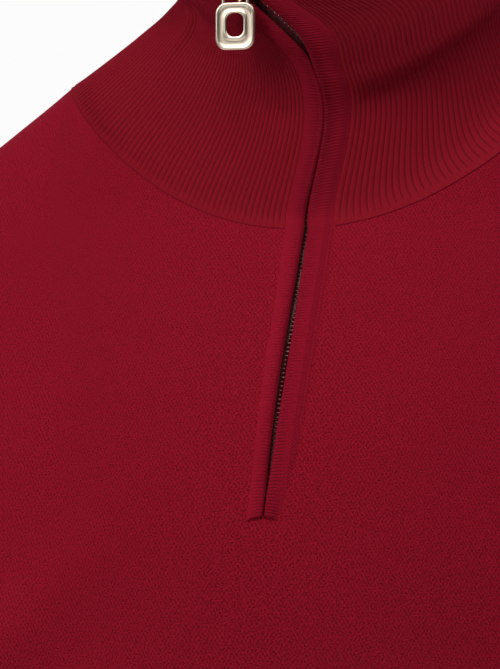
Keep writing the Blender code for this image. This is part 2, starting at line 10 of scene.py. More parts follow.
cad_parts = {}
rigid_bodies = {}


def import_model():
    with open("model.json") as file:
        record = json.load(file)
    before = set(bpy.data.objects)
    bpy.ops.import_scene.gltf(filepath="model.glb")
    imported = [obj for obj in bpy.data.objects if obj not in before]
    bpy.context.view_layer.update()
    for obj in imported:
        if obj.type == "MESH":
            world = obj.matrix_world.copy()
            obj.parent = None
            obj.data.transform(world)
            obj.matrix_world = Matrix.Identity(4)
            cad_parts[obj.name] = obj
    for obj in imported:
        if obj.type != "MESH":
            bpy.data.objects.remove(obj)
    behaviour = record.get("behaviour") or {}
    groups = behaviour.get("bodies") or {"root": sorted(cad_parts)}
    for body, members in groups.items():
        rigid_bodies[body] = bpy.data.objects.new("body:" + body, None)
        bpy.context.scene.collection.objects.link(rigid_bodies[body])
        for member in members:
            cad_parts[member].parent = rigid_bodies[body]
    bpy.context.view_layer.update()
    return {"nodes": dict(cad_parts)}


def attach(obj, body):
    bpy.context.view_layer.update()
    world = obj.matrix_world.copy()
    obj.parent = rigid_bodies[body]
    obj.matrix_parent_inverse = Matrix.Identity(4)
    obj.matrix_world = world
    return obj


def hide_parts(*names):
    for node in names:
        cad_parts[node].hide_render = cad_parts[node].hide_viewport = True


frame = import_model()


def table(names, *rows):
    """A table's columns by name; the rows' values stand in the order of the names."""
    return dict(zip(names, map(np.array, zip(*rows))))


MM = 0.001
GARMENT = "garment"
PULL = "pull"
SIDES = {"left": 1, "right": -1}

# Body, collar, zip and sleeves: the same tables as the solids, in millimetres.
ROUNDNESS = 2.3
BODY_RINGS = table(
    ("height", "half_width", "front", "back"),
    (-690, 176, 118, 112),
    (-620, 180, 121, 115),
    (-592, 197, 134, 127),
    (-500, 201, 137, 124),
    (-400, 199, 132, 118),
    (-300, 207, 139, 126),
    (-230, 213, 144, 133),
    (-170, 219, 139, 132),
    (-120, 230, 122, 124),
    (-90, 236, 104, 115),
    (-62, 222, 85, 104),
    (-48, 193, 75, 97),
    (-30, 160, 67, 90),
    (-8, 130, 61, 80),
    (9, 109, 56, 70),
    (20, 97, 53, 62),
)
HEM_SEAM = -620
HEM_END = -690
NECK_HALF_WIDTH = 109
NECK_FRONT = -53
NECK_BACK = -8
NECK_SIDE = 9
NECK_LEAN = 0.08
SHOULDER_HALF_WIDTH = 200
ARMHOLE_EDGE = table(
    ("height", "front", "back"),
    (-240, 213, 213),
    (-215, 214, 214),
    (-190, 203, 207),
    (-160, 191, 198),
    (-120, 186, 194),
    (-85, 190, 195),
    (-52, 200, 200),
    (0, 200, 200),
)
UNDERARM = -215
# A panel's columns turn to the neck and the shoulder above SHAPED_FROM. Below it the neck's columns
# take LOW_SHARE of the half width, and the shoulder's follow the body's round from LOW_TURN, in radians.
SHAPED_FROM = -340
LOW_SHARE = 0.45
LOW_TURN = 0.42
SHOULDER_POINT = -51.5
COLLAR_RINGS = table(
    ("share", "half_width", "front", "back", "front_height", "side_height", "back_height", "shift", "twist"),
    (0.14, 98, 72, 73, -46, 13, 8, -6, 3.5),
    (0.36, 78, 66, 67, -12, 31, 28, -2, 6),
    (0.58, 71, 70, 66, 9, 46, 50, 7, -3.5),
    (0.80, 73, 77, 64, 28, 64, 74, -3, -5.5),
    (0.90, 70, 79, 63, 39, 73, 84, -7, -14.5),
    (1.00, 66, 81, 62, 52, 82, 94, -11, -23),
)
COLLAR_HEIGHT = 115
COLLAR_RADIUS = 72
TWIST_CENTRE = 25
TURN_WIDTH = table(
    ("share", "width"),
    (0.00, 109),
    (0.20, 95),
    (0.40, 78),
    (0.60, 66),
    (0.80, 47),
    (0.90, 43),
    (1.00, 46),
)
ZIP_LINE = table(
    ("height", "sideways"),
    (-190, -9.5),
    (-170, -8.2),
    (-110, -3.6),
    (-53, 0.0),
    (-20, 1.0),
)
BAND_GAP = table(
    ("along", "half_gap"),
    (-114, 0.25),
    (-106, 0.25),
    (-95, 0.5),
    (-80, 0.8),
    (-45, 1.15),
    (-15, 0.85),
    (10, 0.5),
    (28, 0.2),
    (40, 0.08),
    (68, 0.08),
    (76, 0.4),
    (86, 1.5),
    (115, 1.9),
)
BAND_END = -114
BAND_EDGES = table(
    ("along", "right", "left"),
    (-114, -6.2, 5.2),
    (-109, -6.3, 6.6),
    (-102, -6.4, 8.2),
    (-92, -6.6, 9.6),
    (-72, -7.0, 10.6),
    (-35, -7.4, 11.0),
    (0, -8.0, 11.0),
    (115, -8.0, 11.0),
)
SLEEVE_COLUMNS = ("inner_x", "inner_z", "outer_x", "outer_z", "half_depth", "forward")
SLEEVE_RINGS = table(
    SLEEVE_COLUMNS,
    (217, -219, 227, -58, 79, 0),
    (219, -224, 262, -80, 77, 0),
    (221, -232, 292, -122, 73, 0),
    (223, -248, 311, -176, 68, 0),
    (227, -282, 326, -240, 62, 0),
    (237, -342, 338, -316, 57, 1),
    (250, -410, 345, -395, 52, 4),
    (262, -470, 349, -458, 47, 9),
    (273, -530, 350, -520, 41, 15),
    (281, -566, 349, -560, 36, 20),
    (286, -584, 346, -580, 32, 23),
)
CUFF_RINGS = table(
    SLEEVE_COLUMNS,
    (286, -584, 346, -580, 30, 23),
    (290, -610, 345, -606, 28, 26),
    (292, -654, 346, -650, 27.5, 32),
)
SLIDER_ALONG = 107
PLATE_FRONT = 1.9
PLATE = 1.2
HINGE_RISE = 1.3
PULL_TURN = -12
TAB_LENGTH = 19
TAB_WIDTH = 16.5
TAB_CORNER = 4.5
TAB_LIFT = 0.6
WINDOW_WIDTH = 7.4
WINDOW_LENGTH = 9.4
WINDOW_CORNER = 3.0
BAIL_HALF_WIDTH = 5.2
BAIL_RISE = 8.0
BAIL_BAR = 1.4
BAIL_BEND = 2
# The pull's section, from its outline to its window: share of the way across, and how far forward.
PULL_SECTION = table(
    ("share", "forward"),
    (0.00, 0.75),
    (0.03, 1.00),
    (0.10, 1.10),
    (0.24, 1.10),
    (0.30, 0.70),
    (0.34, 0.65),
    (0.66, 0.65),
    (0.70, 0.70),
    (0.76, 1.10),
    (0.90, 1.10),
    (0.97, 1.00),
    (1.00, 0.75),
    (1.00, -0.75),
    (0.97, -1.00),
    (0.90, -1.10),
    (0.10, -1.10),
    (0.03, -1.00),
    (0.00, -0.75),
    (0.00, 0.75),
)

# Folds: soft ridges and troughs laid on the panels. Angle 0 runs level and 90 straight up.
# They fade out over PANEL_FADE to a panel's ends and sides, and over SLEEVE_FADE to a sleeve's ends.
PANEL_FADE = (20, 18)
SLEEVE_FADE = (30, 10)
FOLD_BOW = 0.35
FOLD_BOW_TURN = 1.7
TROUGH_SHARE = 0.35
TROUGH_AWAY = 1.6
FOLD_COLUMNS = ("x", "height", "angle", "half_length", "half_width", "rise")
FRONT_FOLDS = table(
    FOLD_COLUMNS,
    (-150, -236, 38, 70, 13, 4.5),
    (-128, -262, 44, 58, 12, -3.0),
    (152, -240, 142, 64, 12, 4.0),
    (126, -270, 136, 52, 14, -2.6),
    (62, -250, 128, 90, 16, 1.6),
    (96, -215, 132, 80, 15, -1.4),
    (-96, -420, 70, 85, 18, 2.6),
    (108, -455, 112, 95, 17, 3.0),
    (-30, -560, 8, 70, 11, 3.4),
    (88, -572, -6, 62, 10, 3.8),
    (-122, -578, 5, 54, 10, 3.6),
    (30, -520, 12, 80, 14, -2.4),
    (-60, -505, -14, 62, 12, 2.2),
)
BACK_FOLDS = table(
    FOLD_COLUMNS,
    (-140, -240, 40, 72, 14, 4.2),
    (146, -250, 140, 66, 13, 4.4),
    (0, -330, 88, 110, 20, -3.2),
    (-70, -470, 66, 90, 17, 2.8),
    (84, -492, 118, 82, 16, 2.6),
    (-40, -566, 6, 74, 11, 3.8),
    (92, -575, -8, 58, 10, 3.4),
    (-126, -580, 9, 44, 10, 3.2),
    (18, -525, -10, 88, 13, 2.6),
)
# Sleeve folds: how far down, the turn round (0 outer, 90 front), angle, sizes and rise.
# On the mirrored sleeve all of them are turned a little further round.
MIRRORED_TURN = 17
SLEEVE_FOLDS = table(
    ("down", "turn", "angle", "half_length", "half_width", "rise"),
    (2.6, 70, 24, 46, 9, 2.6),
    (3.2, 290, -20, 50, 10, 2.8),
    (5.6, 175, 14, 60, 9, 3.4),
    (6.3, 205, -12, 66, 9, -3.0),
    (6.9, 160, 8, 62, 8, 3.6),
    (7.5, 210, -16, 54, 8, 2.6),
    (8.4, 30, 10, 58, 7, 2.2),
    (9.2, 120, -8, 64, 6, 2.8),
    (9.7, 250, 12, 56, 6, 2.6),
    (10.1, 20, -6, 60, 5, 2.4),
)
# Collar folds: turn round, share of height, angle, sizes in millimetres and rise.
COLLAR_FOLDS = table(
    ("turn", "share", "angle", "half_length", "half_width", "rise"),
    (-57, 0.56, -84, 20, 3.2, 1.3),
    (-58, 0.93, 84, 26, 6, 2.2),
    (-46, 0.90, 80, 30, 8, -2.6),
    (-8, 0.40, 170, 20, 5, -1.2),
    (34, 0.46, 12, 34, 6, -1.6),
    (96, 0.52, 8, 40, 8, -1.8),
    (150, 0.60, -6, 46, 9, 1.6),
    (205, 0.48, 10, 42, 8, -1.6),
    (262, 0.55, -8, 40, 8, 1.4),
)

# Knit: sizes of the stitches on the cloth, in millimetres, and its colours.
KNIT_RED = (0.268, 0.0045, 0.0187)
PIQUE_RED = (0.333, 0.006, 0.021)
RIB_RED = (0.222, 0.0055, 0.0133)
SEAM_RED = (0.19, 0.0038, 0.013)
STITCH_RED = (0.27, 0.009, 0.025)
TAPE_RED = (0.11, 0.018, 0.02)
SHEEN_RED = (1.0, 0.03, 0.12, 1)
PALE_GOLD = (0.84, 0.71, 0.56)
# Zip teeth: steel darkened to stand for the shade deep in the zip's narrow gap, a painted shade.
SHADE_DARKENED_STEEL = (0.15, 0.075, 0.07)
MOTTLE = 0.04
PIQUE_WIDTH = 1.7
PIQUE_ROW = 1.3
RIB_PITCH = 2.65
RIB_STITCH = 1.35
RIB_HEIGHT = 0.45
RIB_WALL = 2.5
RIB_SECTION = table(
    ("phase", "rise"),
    (0.00, 0.00),
    (0.17, 0.88),
    (0.50, 1.00),
    (0.83, 0.88),
    (1.00, 0.00),
)
BAND_RIDGE = 1.32
BAND_RIDGES = {"left": 0.28, "right": 0.2}
END_BOW = 1.3
# Where the half gap is less than this, the bands' near edges rise to meet each other.
OPEN_GAP = 0.45
MEETING_RISE = 1.5
# A band's section: how far out it stands, from its edge by the zip to its far edge.
BAND_SECTION = table(
    ("share", "rise"),
    (0.00, -0.5),
    (0.08, 0.55),
    (0.25, 1.2),
    (0.45, 1.3),
    (0.70, 0.95),
    (0.88, 0.45),
    (1.00, 0.0),
)
# The collar's ribs are stretched wider on the wearer's left: their pitch by angle round the neck.
NECK_STRETCH = table(
    ("turn", "pitch"),
    (-180, 2.7),
    (-60, 2.7),
    (-35, 2.45),
    (-11, 2.45),
    (14, 3.05),
    (30, 3.35),
    (90, 2.9),
    (180, 2.7),
)
HEM_RIBS = 352
CUFF_RIBS = 66
CLOTH_WALL = 2.0
BAND_WALL = 2.6
TAPE_WALL = 1.0
TAPE_DEPTH = 3.4
TAPE_EDGES = (0.9, 10.0)

# How finely the cloth is meshed: rows under and beside the zip, and columns by neck and shoulder.
FRONT_ROWS = (96, 70)
BACK_ROWS = (90, 50)
FRONT_MESH = {"neck_columns": 34, "shoulder_columns": 30}
BACK_MESH = {"neck_columns": 30, "shoulder_columns": 28}
SLEEVE_ROWS = 150
ROUND_SLEEVE = 97
COLLAR_ROWS = 47
RIB_ROWS = 14
ACROSS_BAND = 15
ACROSS_TAPE = 8

# Seams: the radius of each kind's cord, and the angles where the neck seam meets the bands. Then the
# stitches' beads and how thick a bead is along its length.
SEAM_RADIUS = {"neck": 0.36, "shoulder": 0.7, "armhole": 0.75, "side": 0.6, "cuff": 0.9, "hem": 0.9}
NECK_SEAM_ENDS = (6.2, 360 - 4.5)
BAND_BEAD = {"length": 1.15, "radius": 0.27}
END_BEAD = {"length": 1.3, "radius": 0.3}
BEAD_SECTION = table(
    ("along", "size"),
    (-0.5, 0.15),
    (-0.3, 0.8),
    (0.0, 1.0),
    (0.3, 0.8),
    (0.5, 0.15),
)

# Zip teeth: half sizes across, out and along, how far in they sit, and how far they lean to the left.
TOOTH_PITCH = 1.0
TOOTH_SIZE = (0.7, 0.35, 0.26)
TOOTH_DEPTH = 4.4
TOOTH_LEAN = 1.35
TOOTH_LEAN_AT = -58
TOOTH_LEAN_SPREAD = 24
TOOTH_STAGGER = 0.5
TOOTH_WOBBLE = 0.3

# Light panels: azimuth is 0 in front and turns to the wearer's left; size in metres, power in watts.
LIGHT_DISTANCE = 2.6
LIGHT_AIM = (0, -0.05, -0.1)
LIGHTS = table(
    ("name", "azimuth", "elevation", "size", "power"),
    ("top_front", 0, 55, 1.1, 21),
    ("left", -45, 20, 1.1, 13),
    ("top_left", -45, 40, 1.1, 31),
    ("far_left", -80, 15, 1.1, 7),
    ("right", 45, 40, 1.1, 13),
    ("far_right", 80, 45, 1.1, 9),
    ("behind", 180, 20, 1.6, 40),
)
FLOOR_SIZE = 5
FLOOR_HEIGHT = -0.82
FLOOR_GREY = (0.86, 0.86, 0.86, 1)
BACKDROP = (0.97, 0.97, 0.97, 1)
WORLD_LIGHT = 0.04

# Camera: the middle of the neck seam stands at its pixel of a frame of the photograph's size.
FRAME_SIZE = (500, 669)
MM_PER_PIXEL = 0.40
NECK_POINT = (0, -78, NECK_FRONT)
NECK_POINT_PIXEL = (306, 228)
CAMERA_AZIMUTH = 9
CAMERA_DISTANCE = 1600
SENSOR = 36


def rows_of(columns):
    """Each row of a table, its values by name."""
    lists = [column.tolist() for column in columns.values()]
    return [dict(zip(columns, values)) for values in zip(*lists)]


def on_curve(knots, values, at, *each):
    """Values at `at` on a smooth curve through those at the knots.

    The first axis of the values runs along the knots; `each` picks one curve for each place in `at`.
    """
    spans = np.diff(knots).reshape((-1,) + (1,) * (values.ndim - 1))
    steps = np.diff(values, axis=0) / spans
    grade = np.empty_like(values)
    grade[0] = steps[0]
    grade[-1] = steps[-1]
    grade[1:-1] = (steps[:-1] * spans[1:] + steps[1:] * spans[:-1]) / (spans[1:] + spans[:-1])
    at = np.clip(np.asarray(at, float), knots[0], knots[-1])
    k = np.clip(np.searchsorted(knots, at, side="right") - 1, 0, len(knots) - 2)
    before = (k, *each)
    after = (k + 1, *each)
    shape = at.shape + (1,) * (values[before].ndim - at.ndim)
    span = (knots[k + 1] - knots[k]).reshape(shape)
    t = (at - knots[k]).reshape(shape) / span
    rise = 3 * t**2 - 2 * t**3
    ease = (t**3 - 2 * t**2 + t) * span * grade[before] + (t**3 - t**2) * span * grade[after]
    return (1 - rise) * values[before] + rise * values[after] + ease


def smooth(curve, name, at):
    """A column of a table at `at`, a value of its first column, on a smooth curve through the rows."""
    knots = next(iter(curve.values()))
    return on_curve(knots.astype(float), curve[name].astype(float), at)


def smoothstep(t):
    t = np.clip(t, 0, 1)
    return t * t * (3 - 2 * t)


def points(*parts):
    return np.stack(np.broadcast_arrays(*parts), -1)


def unit(vectors):
    return vectors / np.linalg.norm(vectors, axis=-1, keepdims=True)


def body_depth(x, height, side):
    half_width = smooth(BODY_RINGS, "half_width", height)
    depth = smooth(BODY_RINGS, "front" if side < 0 else "back", height)
    share = np.clip(np.abs(x) / half_width, 0, 1)
    return side * depth * (1 - share**ROUNDNESS) ** (1 / ROUNDNESS)


def body_surface(x, height, in_front):
    y = np.where(in_front, body_depth(x, height, -1), body_depth(x, height, 1))
    return points(x, y, height)


def neck_height(sine, cosine):
    """Height of the neck seam: low in front and higher at the sides, leaning up to the wearer's left."""
    middle = np.where(cosine >= 0, NECK_FRONT, NECK_BACK)
    return middle * (cosine**2 - NECK_LEAN * sine * cosine) + NECK_SIDE * np.abs(sine) ** 3


def neckline(angle):
    """The neck seam: angle 0 is the middle of the front, and 90 degrees the wearer's left."""
    x = NECK_HALF_WIDTH * np.sin(angle)
    height = neck_height(np.sin(angle), np.cos(angle))
    return body_surface(x, height, np.cos(angle) >= 0)


def collar_ring(ring, angle):
    turned = angle + radians(ring["twist"]) * np.cos((angle - radians(TWIST_CENTRE)) / 2) ** 4
    in_front = np.cos(turned) >= 0
    x = ring["shift"] + ring["half_width"] * np.sin(turned)
    y = np.where(in_front, -ring["front"], -ring["back"]) * np.cos(turned)
    middle = np.where(in_front, ring["front_height"], ring["back_height"])
    height = ring["side_height"] + (middle - ring["side_height"]) * np.cos(turned) ** 2
    return points(x, y, height)


def collar_surface(angle, share):
    """A point on the collar's outside, share 0 at the neck seam and 1 at its top edge."""
    angle, share = np.broadcast_arrays(np.asarray(angle, float), np.asarray(share, float))
    flat_angle = angle.ravel()
    flat_share = share.ravel()
    knots = np.concatenate([[0.0], COLLAR_RINGS["share"]])
    upper = [collar_ring(ring, flat_angle) for ring in rows_of(COLLAR_RINGS)]
    rings = np.stack([neckline(flat_angle)] + upper)
    found = on_curve(knots, rings, flat_share, np.arange(len(flat_angle)))
    return found.reshape(angle.shape + (3,))


def width_per_turn(share):
    return smooth(TURN_WIDTH, "width", share)


def zip_surface(across, along):
    """The outside beside the zip: along is negative on the front panel and positive on the collar."""
    across, along = np.broadcast_arrays(np.asarray(across, float), np.asarray(along, float))
    height = NECK_FRONT + np.minimum(along, 0)
    on_panel = body_surface(smooth(ZIP_LINE, "sideways", height) + across, height, True)
    share = np.clip(along / COLLAR_HEIGHT, 0, 1)
    on_collar = collar_surface(across / width_per_turn(share), share)
    return np.where((along < 0)[..., None], on_panel, on_collar)


def band_edge(name, along):
    return smooth(BAND_EDGES, name, along)


def moved_out(surface, a, b, distance, reach=0.3):
    """Points of a surface moved along its outward normal."""
    a, b = np.broadcast_arrays(np.asarray(a, float), np.asarray(b, float))
    step_a = surface(a + reach, b) - surface(a - reach, b)
    step_b = surface(a, b + reach) - surface(a, b - reach)
    return surface(a, b) + unit(np.cross(step_a, step_b)) * np.asarray(distance)[..., None]


def grid_normals(grid):
    normal = np.cross(np.gradient(grid, axis=1), np.gradient(grid, axis=0))
    return normal / np.maximum(np.linalg.norm(normal, axis=-1, keepdims=True), 1e-9)


def tube_normals(grid):
    """Normals of a tube's grid, whose first and last columns are one and the same."""
    normal = grid_normals(grid)
    normal[:, [0, -1]] = unit(normal[:, :1] + normal[:, -1:])
    return normal


def lengths(grid, axis=0):
    """Distance run along an axis of a grid, from its first row or column."""
    steps = np.linalg.norm(np.diff(grid, axis=axis), axis=-1)
    start = np.zeros_like(np.take(steps, [0], axis=axis))
    return np.concatenate([start, np.cumsum(steps, axis=axis)], axis=axis)


def build_mesh(name, vertices, quads, material, flat=None, crisp=None):
    """A smooth-shaded mesh from points in millimetres, quads and each point's place on the flat cloth.

    Points in one place become one. crisp is pairs of points whose edges stay sharp.
    """
    vertices = vertices.reshape(-1, 3)
    flat = np.zeros((len(vertices), 2)) if flat is None else flat.reshape(-1, 2)
    places, same = np.unique(np.round(vertices, 4), axis=0, return_inverse=True)
    same = same.ravel()
    corners = quads.ravel()
    mesh = bpy.data.meshes.new(name)
    mesh.vertices.add(len(places))
    mesh.vertices.foreach_set("co", (places * MM).astype(np.float32).ravel())
    mesh.loops.add(len(corners))
    mesh.loops.foreach_set("vertex_index", same[corners].astype(np.int32))
    mesh.polygons.add(len(quads))
    mesh.polygons.foreach_set("loop_start", np.arange(0, len(corners), 4, dtype=np.int32))
    mesh.polygons.foreach_set("loop_total", np.full(len(quads), 4, dtype=np.int32))
    layer = mesh.uv_layers.new(name="Knit")
    layer.data.foreach_set("uv", flat[corners].astype(np.float32).ravel())
    mesh.update(calc_edges=True)
    mesh.validate()
    mesh.shade_smooth()
    if crisp is not None:
        ends = np.empty(2 * len(mesh.edges), np.int32)
        mesh.edges.foreach_get("vertices", ends)
        known = np.sort(same[crisp], axis=1).astype(np.int64) @ (len(places), 1)
        edges = np.sort(ends.reshape(-1, 2), axis=1).astype(np.int64) @ (len(places), 1)
        mesh.edges.foreach_set("use_edge_sharp", np.isin(edges, known))
    mesh.materials.append(material)
    obj = bpy.data.objects.new(name, mesh)
    bpy.context.scene.collection.objects.link(obj)
    return obj


def grid_quads(rows, columns, start=0, flip=False):
    low = np.arange(rows - 1)[:, None] * columns + np.arange(columns - 1)[None, :] + start
    quads = np.stack([low, low + 1, low + columns + 1, low + columns], -1).reshape(-1, 4)
    return quads[:, ::-1] if flip else quads


def shell(name, grid, knit, wall, material, mirrored=False, rounded=0, inner=None):
    """A cloth wall: the outer grid, an inner face one wall behind it and rims round all its sides.

    knit gives each grid point its place on the flat cloth, in millimetres. A tube repeats its
    first column at the end. rounded adds steps that round the last row's rim. A ribbed piece
    gives its own plain inner face.
    """
    is_tube = np.allclose(grid[:, 0], grid[:, -1])
    if inner is None:
        inner = grid - (tube_normals(grid) if is_tube else grid_normals(grid)) * wall
    if mirrored:
        grid = (grid * (-1, 1, 1))[:, ::-1]
        inner = (inner * (-1, 1, 1))[:, ::-1]
        knit = knit[:, ::-1]
    rows, columns = grid.shape[:2]
    count = rows * columns
    index = np.arange(count).reshape(rows, columns)
    quads = [grid_quads(rows, columns), grid_quads(rows, columns, count, flip=True)]
    vertices = [grid.reshape(-1, 3), inner.reshape(-1, 3)]
    flat = [knit.reshape(-1, 2), knit.reshape(-1, 2)]
    edges = [(index[0], True, 0), (index[-1], False, rounded)]
    if not is_tube:
        edges += [(index[:, 0], False, 0), (index[:, -1], True, 0)]
    total = 2 * count
    crisp = []
    for edge, flip, steps in edges:
        beyond = 0
        if steps:
            beyond = unit(grid[-1] - grid[-2]) * wall / 2
        else:
            pairs = np.stack([edge[:-1], edge[1:]], 1)
            crisp += [pairs, pairs + count]
        middle = (vertices[0][edge] + vertices[1][edge]) / 2
        reach = (vertices[0][edge] - vertices[1][edge]) / 2
        turn = np.linspace(0, pi, steps + 2)[:, None, None]
        vertices.append((middle + reach * np.cos(turn) + beyond * np.sin(turn)).reshape(-1, 3))
        flat.append(np.tile(flat[0][edge], (steps + 2, 1)))
        quads.append(grid_quads(steps + 2, len(edge), total, flip=flip))
        total += len(vertices[-1])
    vertices, quads, flat, crisp = map(np.concatenate, (vertices, quads, flat, crisp))
    return build_mesh(name, vertices, quads, material, flat, crisp)


def ridge(u, v, fold):
    """How far a fold lifts the cloth at u and v from its middle: a soft crest and a trough beside it."""
    turn = radians(fold["angle"])
    along = (u * cos(turn) + v * sin(turn)) / fold["half_length"]
    across = (v * cos(turn) - u * sin(turn)) / fold["half_width"]
    bend = across + FOLD_BOW * np.sin(FOLD_BOW_TURN * along)
    crest = np.exp(-bend**2) - TROUGH_SHARE * np.exp(-(bend - TROUGH_AWAY) ** 2)
    return fold["rise"] * np.exp(-along**2) * crest


def ridge_heights(x):
    heights = np.linspace(NECK_SIDE, SHOULDER_POINT - 3, 400)
    return np.interp(x, smooth(BODY_RINGS, "half_width", heights), heights)


def half_panel(side, half, start_at, rows, neck_columns, shoulder_columns):
    """Half a panel from its middle out; start_at gives how far from the middle it begins, by height."""
    at_neck = start_at(NECK_FRONT)
    angles = np.linspace(at_neck / NECK_HALF_WIDTH, pi / 2, neck_columns + 1)
    ridge_x = np.linspace(NECK_HALF_WIDTH, SHOULDER_HALF_WIDTH, shoulder_columns + 1)[1:]
    top_x = np.concatenate([NECK_HALF_WIDTH * np.sin(angles), ridge_x])
    neck_z = neck_height(half * np.sin(angles), -side * np.cos(angles))
    top_z = np.concatenate([neck_z, ridge_heights(ridge_x)])
    low_angles = np.linspace(LOW_TURN, pi / 2, shoulder_columns + 1)[1:]
    low_middle = np.linspace(0, LOW_SHARE, neck_columns + 1)
    low_share = np.concatenate([low_middle, np.sin(low_angles) ** (2 / ROUNDNESS)])
    height = HEM_SEAM + (top_z - HEM_SEAM) * rows[:, None]
    armhole = smooth(ARMHOLE_EDGE, "front" if side < 0 else "back", height)
    half_width = np.where(height < UNDERARM, smooth(BODY_RINGS, "half_width", height), armhole)
    rise = smoothstep((height - SHAPED_FROM) / (top_z - SHAPED_FROM))
    top_share = (top_x - at_neck) / (SHOULDER_HALF_WIDTH - at_neck)
    share = low_share * (1 - rise) + top_share * rise
    start = start_at(height)
    x = half * (start + (half_width - start) * share)
    if side < 0:
        x = x + smooth(ZIP_LINE, "sideways", height) * (1 - share) ** 2
    return points(x, body_depth(x, height, side), height)


def cloth_places(grid):
    """Where each point of a panel lies on its flat cloth: across from the middle line, and up."""
    middle = np.abs(grid[0, :, 0]).argmin()
    run = lengths(grid, 1)
    across = run - run[:, middle: middle + 1] + grid[:, middle: middle + 1, 0]
    return points(across, lengths(grid))


def with_folds(grid, folds):
    """The grid lifted by its folds, which fade towards its edges."""
    rise = np.zeros(grid.shape[:2])
    for fold in rows_of(folds):
        rise += ridge(grid[..., 0] - fold["x"], grid[..., 2] - fold["height"], fold)
    ends, sides = PANEL_FADE
    rise *= smoothstep(lengths(grid) / ends) * smoothstep(lengths(grid[::-1])[::-1] / ends)
    rise *= smoothstep(lengths(grid, 1) / sides) * smoothstep(lengths(grid[:, ::-1], 1)[:, ::-1] / sides)
    return grid + grid_normals(grid) * rise[..., None]


def panel_rows(low, high):
    """Shares of the height from hem to neck for a panel's rows, low of them below the zip's end."""
    notch = (NECK_FRONT + BAND_END - HEM_SEAM) / (NECK_FRONT - HEM_SEAM)
    above = 1 - np.linspace(1, 0, high + 1) ** 1.3
    return np.concatenate([notch * np.linspace(0, 1, low + 1), notch + (1 - notch) * above[1:]])


def make_front(material):
    """The front in three shells that meet: left and right of the zip, and the strip under it."""
    rows = panel_rows(*FRONT_ROWS)
    left = half_panel(-1, -1, lambda height: -band_edge("right", height - NECK_FRONT), rows, **FRONT_MESH)
    right = half_panel(-1, 1, lambda height: band_edge("left", height - NECK_FRONT), rows, **FRONT_MESH)
    left = left[:, ::-1]
    middle = np.linspace(left[:, -1], right[:, 0], 7, axis=1)
    middle[..., 1] = body_depth(middle[..., 0], middle[..., 2], -1)
    whole = np.concatenate([left, middle[:, 1:-1], right], axis=1)
    folded = with_folds(whole, FRONT_FOLDS)
    knit = cloth_places(whole)
    edge_left = left.shape[1]
    edge_right = whole.shape[1] - right.shape[1] + 1
    under = (slice(FRONT_ROWS[0] + 1), slice(edge_left - 1, edge_right))
    low = folded[under].copy()
    across = low[-1, :, 0] - smooth(ZIP_LINE, "sideways", low[-1, :, 2])
    low[-1] = zip_surface(across, BAND_END + end_bow(across))
    beside = slice(edge_right - 1, None)
    return join("front_cloth", [
        shell("front_left_cloth", folded[:, beside], knit[:, beside], CLOTH_WALL, material),
        shell("front_right_cloth", folded[:, :edge_left], knit[:, :edge_left], CLOTH_WALL, material),
        shell("front_low_cloth", low, knit[under], CLOTH_WALL, material),
    ])


def make_back(material):
    rows = panel_rows(*BACK_ROWS)
    left = half_panel(1, -1, np.zeros_like, rows, **BACK_MESH)
    right = half_panel(1, 1, np.zeros_like, rows, **BACK_MESH)
    grid = np.concatenate([right[:, ::-1], left[:, 1:]], axis=1)
    return shell("back_cloth", with_folds(grid, BACK_FOLDS), cloth_places(grid), CLOTH_WALL, material)


def join(name, pieces):
    """Several meshes made one object, keeping their UVs."""
    bpy.ops.object.select_all(action="DESELECT")
    for piece in pieces:
        piece.select_set(True)
    bpy.context.view_layer.objects.active = pieces[0]
    bpy.ops.object.join()
    pieces[0].name = name
    pieces[0].data.name = name
    return pieces[0]


def armhole_loop(angle):
    height = (SHOULDER_POINT + UNDERARM) / 2 + (SHOULDER_POINT - UNDERARM) / 2 * np.cos(angle)
    in_front = np.sin(angle) >= 0
    edge = np.where(in_front, smooth(ARMHOLE_EDGE, "front", height), smooth(ARMHOLE_EDGE, "back", height))
    x = np.minimum(edge, smooth(BODY_RINGS, "half_width", height))
    return body_surface(x, height, in_front)


def sleeve_ring(ring, angle):
    inner = np.array((ring["inner_x"], -ring["forward"], ring["inner_z"]), float)
    outer = np.array((ring["outer_x"], -ring["forward"], ring["outer_z"]), float)
    across = (outer - inner) / 2 * np.cos(angle)[:, None]
    depth = np.array((0, -ring["half_depth"], 0)) * np.sin(angle)[:, None]
    return (inner + outer) / 2 + across + depth


def tube_through(rings, row_count):
    """A tube's grid on smooth curves through its rings, and each row's place among them."""
    at = np.linspace(0, len(rings) - 1, row_count)
    return on_curve(np.arange(len(rings), dtype=float), np.stack(rings), at), at


def make_sleeve(side, mirrored, material):
    angles = np.linspace(0, 2 * pi, ROUND_SLEEVE)
    rings = [armhole_loop(angles)] + [sleeve_ring(ring, angles) for ring in rows_of(SLEEVE_RINGS)]
    grid, down = tube_through(rings, SLEEVE_ROWS)
    rise = np.zeros(grid.shape[:2])
    run = lengths(grid)
    for fold in rows_of(SLEEVE_FOLDS):
        turn = fold["turn"] + (MIRRORED_TURN if mirrored else 0)
        middle = np.abs(down - fold["down"]).argmin()
        half_width = np.linalg.norm(grid[middle].max(0) - grid[middle].min(0)) / 4
        around = np.radians((np.degrees(angles) - turn + 180) % 360 - 180) * half_width
        rise += ridge(around, run - run[middle], fold)
    rise *= smoothstep(run / SLEEVE_FADE[0]) * smoothstep((run[-1:] - run) / SLEEVE_FADE[1])
    rise[:, -1] = rise[:, 0]
    folded = grid + grid_normals(grid) * rise[..., None]
    folded[:, -1] = folded[:, 0]
    knit = points(lengths(grid, 1), -run)
    return shell(f"sleeve_{side}_cloth", folded, knit, CLOTH_WALL, material, mirrored=mirrored)


def spread_loop(points_of, shares):
    """Points of a closed curve at the given shares of its length."""
    dense = points_of(np.linspace(0, 2 * pi, 1441))
    run = lengths(dense)
    return np.stack([np.interp(shares * run[-1], run, dense[:, axis]) for axis in range(3)], -1)


